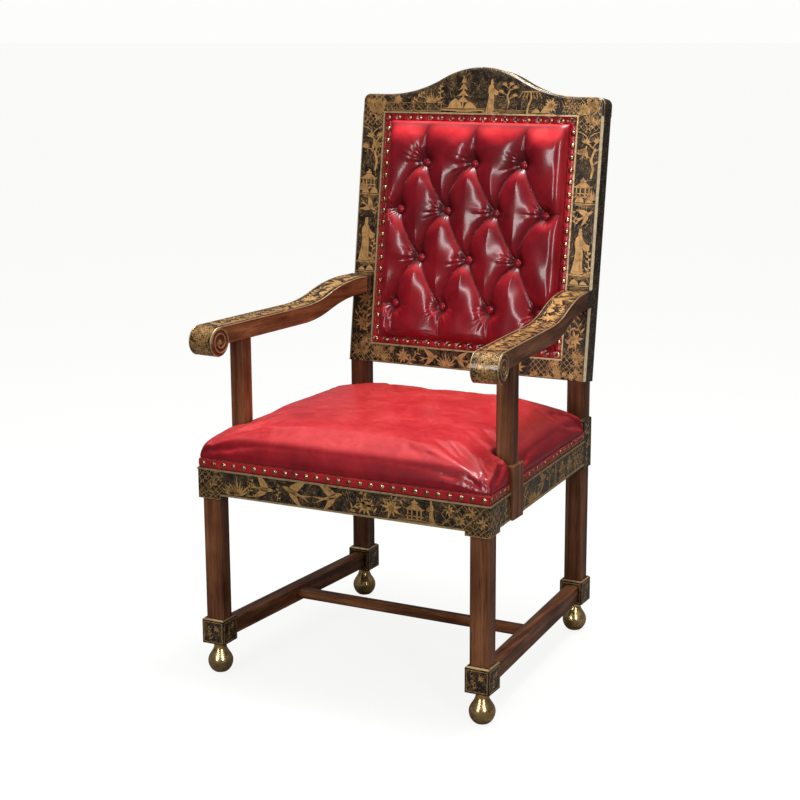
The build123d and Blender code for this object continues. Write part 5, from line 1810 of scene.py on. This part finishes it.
def block_faces(node, low_z, high_z, *faces):
    """Frames of a block's upright faces, with their widths and heights."""
    low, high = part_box(node)
    wide, deep = high.x - low.x, high.y - low.y
    frames = {
        "front": ((low.x, low.y, low_z), (1, 0, 0), wide),
        "right": ((high.x, low.y, low_z), (0, 1, 0), deep),
        "rear": ((high.x, high.y, low_z), (-1, 0, 0), wide),
        "left": ((low.x, high.y, low_z), (0, -1, 0), deep),
    }
    for face in faces:
        origin, along, width = frames[face]
        yield face_frame(origin, along), width, high_z - low_z


def corner_block_drawing(width, height, seed):
    d = Drawing()
    spray(d, 0.35 * width, 0.05 * height, 0.34 * height, 1.3)
    star_flower(d, 0.6 * width, 0.5 * height, 0.55 * width)
    spray(d, 0.7 * width, 0.6 * height, 0.3 * height, 1.9, 5)
    swallow(d, 0.45 * width, 0.82 * height, 0.6 * width, 0.5)
    scratches(d, 1 * MM, 1 * MM, width - 2 * MM, height - 2 * MM, 30, seed, 7)
    return d


def corner_panel(d, x, y, width, height, seed):
    """A corner filled with stars, sprays and crossed lines."""
    chance = random.Random(seed)
    lattice(d, x, y, width, height, 13 * MM, False)
    for i in range(max(3, round(width * height / (260 * MM * MM)))):
        a = x + chance.uniform(0.1, 0.9) * width
        b = y + chance.uniform(0.08, 0.92) * height
        if i % 3 == 2:
            spray(d, a, b, chance.uniform(16, 26) * MM, chance.uniform(0, math.tau), 6)
        else:
            star_flower(d, a, b, chance.uniform(16, 26) * MM, 8, chance.uniform(0, 1))


def stile_drawing(right_hand):
    """Scenes up a stile, from its inner edge at x zero to its outer edge."""
    width = STILE_WIDTH - FRAME_CHAMFER
    d = Drawing(0.4 * MM, 0.6 * MM, width - 0.2 * MM, OPENING_HIGH + 37 * MM)
    way, figure, shrub, house, trunk = (1, 0.42, 0.86, 0.40, 0.72)
    more = 0
    if not right_hand:
        way, figure, shrub, house, trunk = (-1, 0.58, 0.16, 0.58, 0.3)
        more = 1
    corner_panel(d, 0, 0, width, 58 * MM, 15 + more)
    motifs(
        d, width, 0,
        (star_flower, 0.5, 84, 42, 8),
        (spray, 0.2, 60, 56, 1.3, 7),
        (spray, 0.80, 92, 50, 1.9, 7),
        (star_flower, 0.42, 136, 36, 7),
        (spray, 0.3, 150, 30, 0.8, 6),
        (water, 0.5, 190, 40, 6),
        (rocks, 0.5, 196, 40),
        (robed_figure, figure, 218, 92, way),
        (spray, shrub, 214, 42, 1.35, 7),
        (spray, shrub - way * 6 * MM / width, 212, 26, 1.9, 6),
        (fan_tree, shrub, 212, 16),
        (water, 0.5, 213, 44, 4),
        (swallow, 0.55, 334, 46, 0.5, way),
        (spray, 0.15, 310, 30, 1.5, 5),
        (rocks, 0.5, 362, 42),
        (water, 0.5, 358, 44, 4),
        (pavilion, house, 372, 38),
        (fan_tree, 0.82, 366, 26),
        (tree, trunk, 410, 76, way),
        (swallow, 0.36, 462, 34, 1.2),
    )
    arch = ((0.0, 504), (0.25, 500), (0.42, 494), (0.5, 486), (0.58, 494), (0.75, 500), (1.0, 504))
    d.stroke([(a * width, b * MM) for a, b in arch], 1.8 * MM, 0.8)
    corner_panel(d, 0, 506 * MM, width, 66 * MM, 17 + more)
    scratches(d, 0, 0, width, 560 * MM, 230, 21 + more, 15)
    return d


def crest_room(x):
    """How high the crest's face reaches at this x, under its rounded edge."""
    edge = sorted((a, b) for a, b, _, ny in crest_edge() if ny > 0.3)
    return float(np.interp(abs(x), *zip(*edge))) - 6 * MM


def crest_drawing():
    """Scenes across the crest, in the back's own plane."""
    base = OPENING_HIGH + 1 * MM
    edge = BACK_HALF - 9 * MM
    d = Drawing(-edge, base - 0.4 * MM, edge, BACK_CORNER_UP + CREST_RISE)
    for side in (-1, 1):
        chance = random.Random(33 + side)
        for i in range(9):
            x = side * chance.uniform(222, 262) * MM
            star_flower(d, x, base + chance.uniform(2, 24) * MM, 17 * MM, 8, i)
    motifs(
        d, MM, base,
        (fence, -216, 1, 62, 17 * MM),
        (fence, -150, 1, 62, 19 * MM),
        (star_flower, -190, 24, 24, 11),
        (spray, -160, 20, 32, 0.35, 7),
        (fan_tree, -112, 18, 28),
        (spray, -96, 14, 36, 1.2, 7),
        (pine, -38, 10, 62),
        (rocks, -38, 8, 70),
        (water, -30, 8, 150, 4),
        (robed_figure, 26, 3, 66),
        (water, 70, 6, 100, 3),
        (tree, 64, 10, 50),
        (willow, 108, 0, 50),
        (rocks, 138, 2, 44, -1),
        (star_flower, 160, 17, 34, 12),
        (spray, 184, 3, 30, 0.9, 6),
        (lattice, 196, 0, 30, 24 * MM, 9 * MM),
    )
    chance = random.Random(31)
    for _ in range(260):
        x = chance.uniform(-262, 262) * MM
        up = chance.uniform(base, crest_room(x) - 2 * MM)
        turn = chance.uniform(0, math.pi)
        size = chance.uniform(3, 12) * MM
        end = (x + size * math.cos(turn), up + size * math.sin(turn))
        if end[1] < crest_room(end[0]):
            stray(d, chance, (x, up), end, size)
    return d


def bottom_rail_drawing():
    length, high = 2 * OPENING_HALF, OPENING_LOW
    d = Drawing(0, 1.8 * MM, length, high - 0.6 * MM)
    corner_panel(d, 0, 0, 0.13 * length, high, 51)
    corner_panel(d, 0.84 * length, 0, 0.16 * length, high, 52)
    motifs(
        d, length, 0,
        (star_flower, 0.18, 18.576, 38),
        (spray, 0.20, 3, 44, 0.6, 7),
        (swallow, 0.32, 19.35, 48, 0.2),
        (fan_tree, 0.41, 3, 34),
        (swallow, 0.49, 21.285, 44, -0.2, -1),
        (rocks, 0.56, 6, 38),
        (spray, 0.60, 5, 38, 1.1, 7),
        (swallow, 0.69, 19.35, 48, 0.4),
        (star_flower, 0.78, 17.415, 38, 8),
    )
    scratches(d, 0, 2 * MM, length, high - 4 * MM, 130, 41, 12)
    d.bar(0, 1.8 * MM, length, 3 * MM)
    return d


def arm_drawing():
    """Birds, leaves and ground lines along an arm's top, x along and y across."""
    half = ARM_WIDTH / 2 - 3 * MM
    run_length = ARM_LENGTH - NOSE_RUN
    d = Drawing(NOSE_RUN, -half, ARM_LENGTH - 1 * MM, half)
    for i, share in enumerate((0.07, 0.26, 0.46, 0.66, 0.84)):
        run = NOSE_RUN + share * run_length
        if i % 2 == 0:
            swallow(d, run, -3 * MM, 62 * MM, 0.5 + 0.3 * i, -1)
            spray(d, run + 26 * MM, half * 0.6, 46 * MM, 0.3, 7, 0.25, -1)
        else:
            star_flower(d, run, 0, 46 * MM, 9, i)
            spray(d, run - 14 * MM, half * 0.5, 48 * MM, -0.2, 7)
        rocks(d, run + 46 * MM, -half * 0.55, 44 * MM)
        spray(d, run + 40 * MM, half * 0.8, 40 * MM, -0.5, 6, -0.2)
        ground = ((20, 0.75), (52, 0.5), (84, 0.8))
        d.stroke([(run + a * MM, -half * b) for a, b in ground], 2.4 * MM, 0.2)
    scratches(d, NOSE_RUN, -half, run_length, 2 * half, 200, 51, 15)
    return d


def nose_drawing():
    half = ARM_WIDTH / 2 - 3 * MM
    d = Drawing(1 * MM, -half, NOSE_RUN, half)
    chance = random.Random(61)
    for _ in range(16):
        run, across = chance.uniform(4, 80) * MM, chance.uniform(-0.8, 0.8) * half
        spray(d, run, across, 20 * MM, chance.uniform(0, 6), 6)
    scratches(d, 2 * MM, -half, NOSE_RUN, 2 * half, 320, 62, 13)
    return d


def over_arm(run, across, out):
    return on_arm(run, across, out + SKIN_OUT)


def over_left_arm(run, across, out):
    return MIRROR @ over_arm(run, across, out)


rail_corner = (RAIL_FRONT_HALF, RAIL_FRONT_Y, RAIL_UNDER)
front_frame = face_frame((-RAIL_FRONT_HALF, RAIL_FRONT_Y, RAIL_UNDER), (1, 0, 0))
rear_frame = face_frame((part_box("seat_rail_rear")[1].x, SEAT_REAR_Y, RAIL_UNDER), (-1, 0, 0))
side_frame = face_frame(rail_corner, (-math.sin(SIDE_SLANT), math.cos(SIDE_SLANT), 0))
left_side_frame = MIRROR @ side_frame
ear_right = face_frame(rail_corner, (1, 0, 0)) @ MIRROR
side_painting, ear = side_rail_drawing(), ear_drawing()
paint("front_rail_painting", (front_rail_drawing(), front_frame), (ear, front_frame), (ear, ear_right))
paint(
    "side_rail_paintings",
    (side_painting, side_frame),
    (side_painting, left_side_frame),
    (ear, side_frame),
    (ear, left_side_frame),
)
paint("rear_rail_painting", (rear_rail_drawing(), rear_frame))

panels = []
for node in ["plinth_block_" + corner for corner in CORNERS]:
    low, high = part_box(node)
    faces = block_faces(node, low.z, high.z - PLINTH_BEVEL, "front", "right", "rear", "left")
    panels += [(panel_drawing(w, h, 70 + i), place) for i, (place, w, h) in enumerate(faces)]
paint("plinth_block_paintings", *panels)

panels = []
for side in SIDES:
    node = "rear_corner_block_" + side
    low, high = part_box(node)
    for place, width, height in block_faces(node, low.z + 1 * MM, high.z - 3 * MM, side):
        panels.append((corner_block_drawing(width, height, 80), place))
    for place, width, height in block_faces(node, RAIL_TOP + 22 * MM, high.z - 3 * MM, "front"):
        panels.append((panel_drawing(width, height, 81), place))
paint("rear_corner_block_paintings", *panels)

right_stile = back_matrix @ Matrix.Translation((OPENING_HALF, 0, 0))
bottom_frame = back_matrix @ Matrix.Translation((-OPENING_HALF, 0, 0))
paint(
    "back_frame_paintings",
    (stile_drawing(True), right_stile),
    (stile_drawing(False), bottom_frame @ MIRROR),
    (crest_drawing(), back_matrix),
    (bottom_rail_drawing(), bottom_frame),
)
paint(
    "arm_paintings",
    (arm_drawing(), over_arm),
    (arm_drawing(), over_left_arm),
    (nose_drawing(), over_arm),
    (nose_drawing(), over_left_arm),
)


# Finishes of the frame's own pieces, by how their names start
FINISHES = {
    lacquer: (
        "plinth_block_", "seat_rail_", "rear_corner_block_", "arm_rear_block_", "back_stile_",
        "crest_rail", "back_bottom_rail",
    ),
    upright_mahogany: ("front_leg_", "rear_post_", "arm_bracket_", "arm_post_"),
    lengthways_mahogany: ("side_stretcher_", "arm_right", "arm_left"),
    crossways_mahogany: ("cross_stretcher",),
    gilt_edge: ("rail_beads", "arm_volutes", "back_gilt_fillet"),
    beech: ("tacking_rail_", "corner_braces", "back_frame_dowels", "back_strainer"),
    foot_brass: ("foot_",),
    steel: ("brace_screws",),
    linen: ("back_web",),
    sacking: ("back_stuffing",),
}
for name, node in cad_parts.items():
    for material, starts in FINISHES.items():
        if name.startswith(starts):
            node.data.materials.clear()
            node.data.materials.append(material)
    if node.hide_render:
        continue
    for face in node.data.polygons:
        face.use_smooth = True
    weld = node.modifiers.new("weld", "WELD")
    weld.merge_threshold = 0.005 * MM
    split = node.modifiers.new("edges", "EDGE_SPLIT")
    split.split_angle = math.radians(28)


# Floor, light and camera
FLOOR_GLOW = 0.87
FLOOR_BOUNCE = 0.11
SKY_TOP = 1.7
SKY_FOCUS = 5.0
SKY_SIDE = 0.10


def studio_floor():
    """A floor that looks bright and throws back only a little light."""
    shape = bmesh.new()
    bmesh.ops.create_grid(shape, x_segments=1, y_segments=1, size=90)
    floor = in_scene("floor", as_mesh("floor", shape))
    finish = Finish("pale_floor", Roughness=0.7)
    finish.set(
        Base_Color=(0.10, 0.10, 0.099), Emission_Color=(1, 1, 0.99), Emission_Strength=FLOOR_GLOW
    )
    dull = finish.node("BsdfDiffuse", {"Color": (FLOOR_BOUNCE, FLOOR_BOUNCE, FLOOR_BOUNCE)})
    finish.show(dull, finish.shader, "Material Output")
    floor.data.materials.append(finish.material)


def studio_world():
    """Light from above that fades towards the horizon, with a white backdrop behind."""
    world = bpy.data.worlds.new("studio")
    bpy.context.scene.world = world
    sky = Nodes(world)
    light = sky.tree.nodes["Background"]
    sky.give(light.inputs["Color"], (1, 1, 1))
    place = sky.node("TexCoord").outputs["Generated"]
    value = sky.math("MAXIMUM", sky.node("SeparateXYZ", {0: place}).outputs["Z"], 0.0)
    for operation, amount in (("POWER", SKY_FOCUS), ("MULTIPLY", SKY_TOP), ("ADD", SKY_SIDE)):
        value = sky.math(operation, value, amount)
    sky.give(light.inputs["Strength"], value)
    backdrop = sky.node("Background", {"Color": (0.985, 0.985, 0.975)})
    sky.show(light, backdrop, "World Output")


def soft_box(name, place, target_height, width, height, power):
    """A rectangular studio light that faces the chair's middle line at a height."""
    light = bpy.data.lights.new(name, "AREA")
    light.shape = "RECTANGLE"
    light.size = width
    light.size_y = height
    light.energy = power
    lamp = in_scene(name, light)
    lamp.location = place
    aim = Vector((0, 0, target_height)) - Vector(place)
    lamp.rotation_euler = aim.to_track_quat("-Z", "Y").to_euler()


studio_floor()
studio_world()
bpy.context.scene.view_settings.view_transform = "Standard"
soft_box("right_window", (2.1, -2.0, 1.6), 0.75, 0.30, 1.5, 26)
soft_box("left_window", (-0.40, -3.1, 1.55), 0.8, 0.30, 1.7, 31)
soft_box("high_window", (0.35, 0.25, 3.4), 0.5, 1.1, 1.1, 112)

CAMERA_TARGET = Vector((-0.016578, 0.260 + FRONT_LINE_Y, 0.524583))
CAMERA_AZIMUTH = math.radians(27.51)
CAMERA_ELEVATION = math.radians(12.579)
CAMERA_ROLL = math.radians(-0.30)
CAMERA_DISTANCE = 3.3656
CAMERA_LENS = 76.38
CAMERA_SENSOR = 36
az, el = CAMERA_AZIMUTH, CAMERA_ELEVATION
back = Vector((math.sin(az) * math.cos(el), -math.cos(az) * math.cos(el), math.sin(el)))
right = Vector((math.cos(az), math.sin(az), 0))
above = back.cross(right)
turned_right = right * math.cos(CAMERA_ROLL) + above * math.sin(CAMERA_ROLL)
turned_up = above * math.cos(CAMERA_ROLL) - right * math.sin(CAMERA_ROLL)
pose = Matrix((turned_right, turned_up, back)).transposed().to_4x4()
pose.translation = CAMERA_TARGET + back * CAMERA_DISTANCE
camera = in_scene("camera", bpy.data.cameras.new("camera"))
camera.data.lens = CAMERA_LENS
camera.data.sensor_width = CAMERA_SENSOR
camera.matrix_world = pose
bpy.context.scene.camera = camera
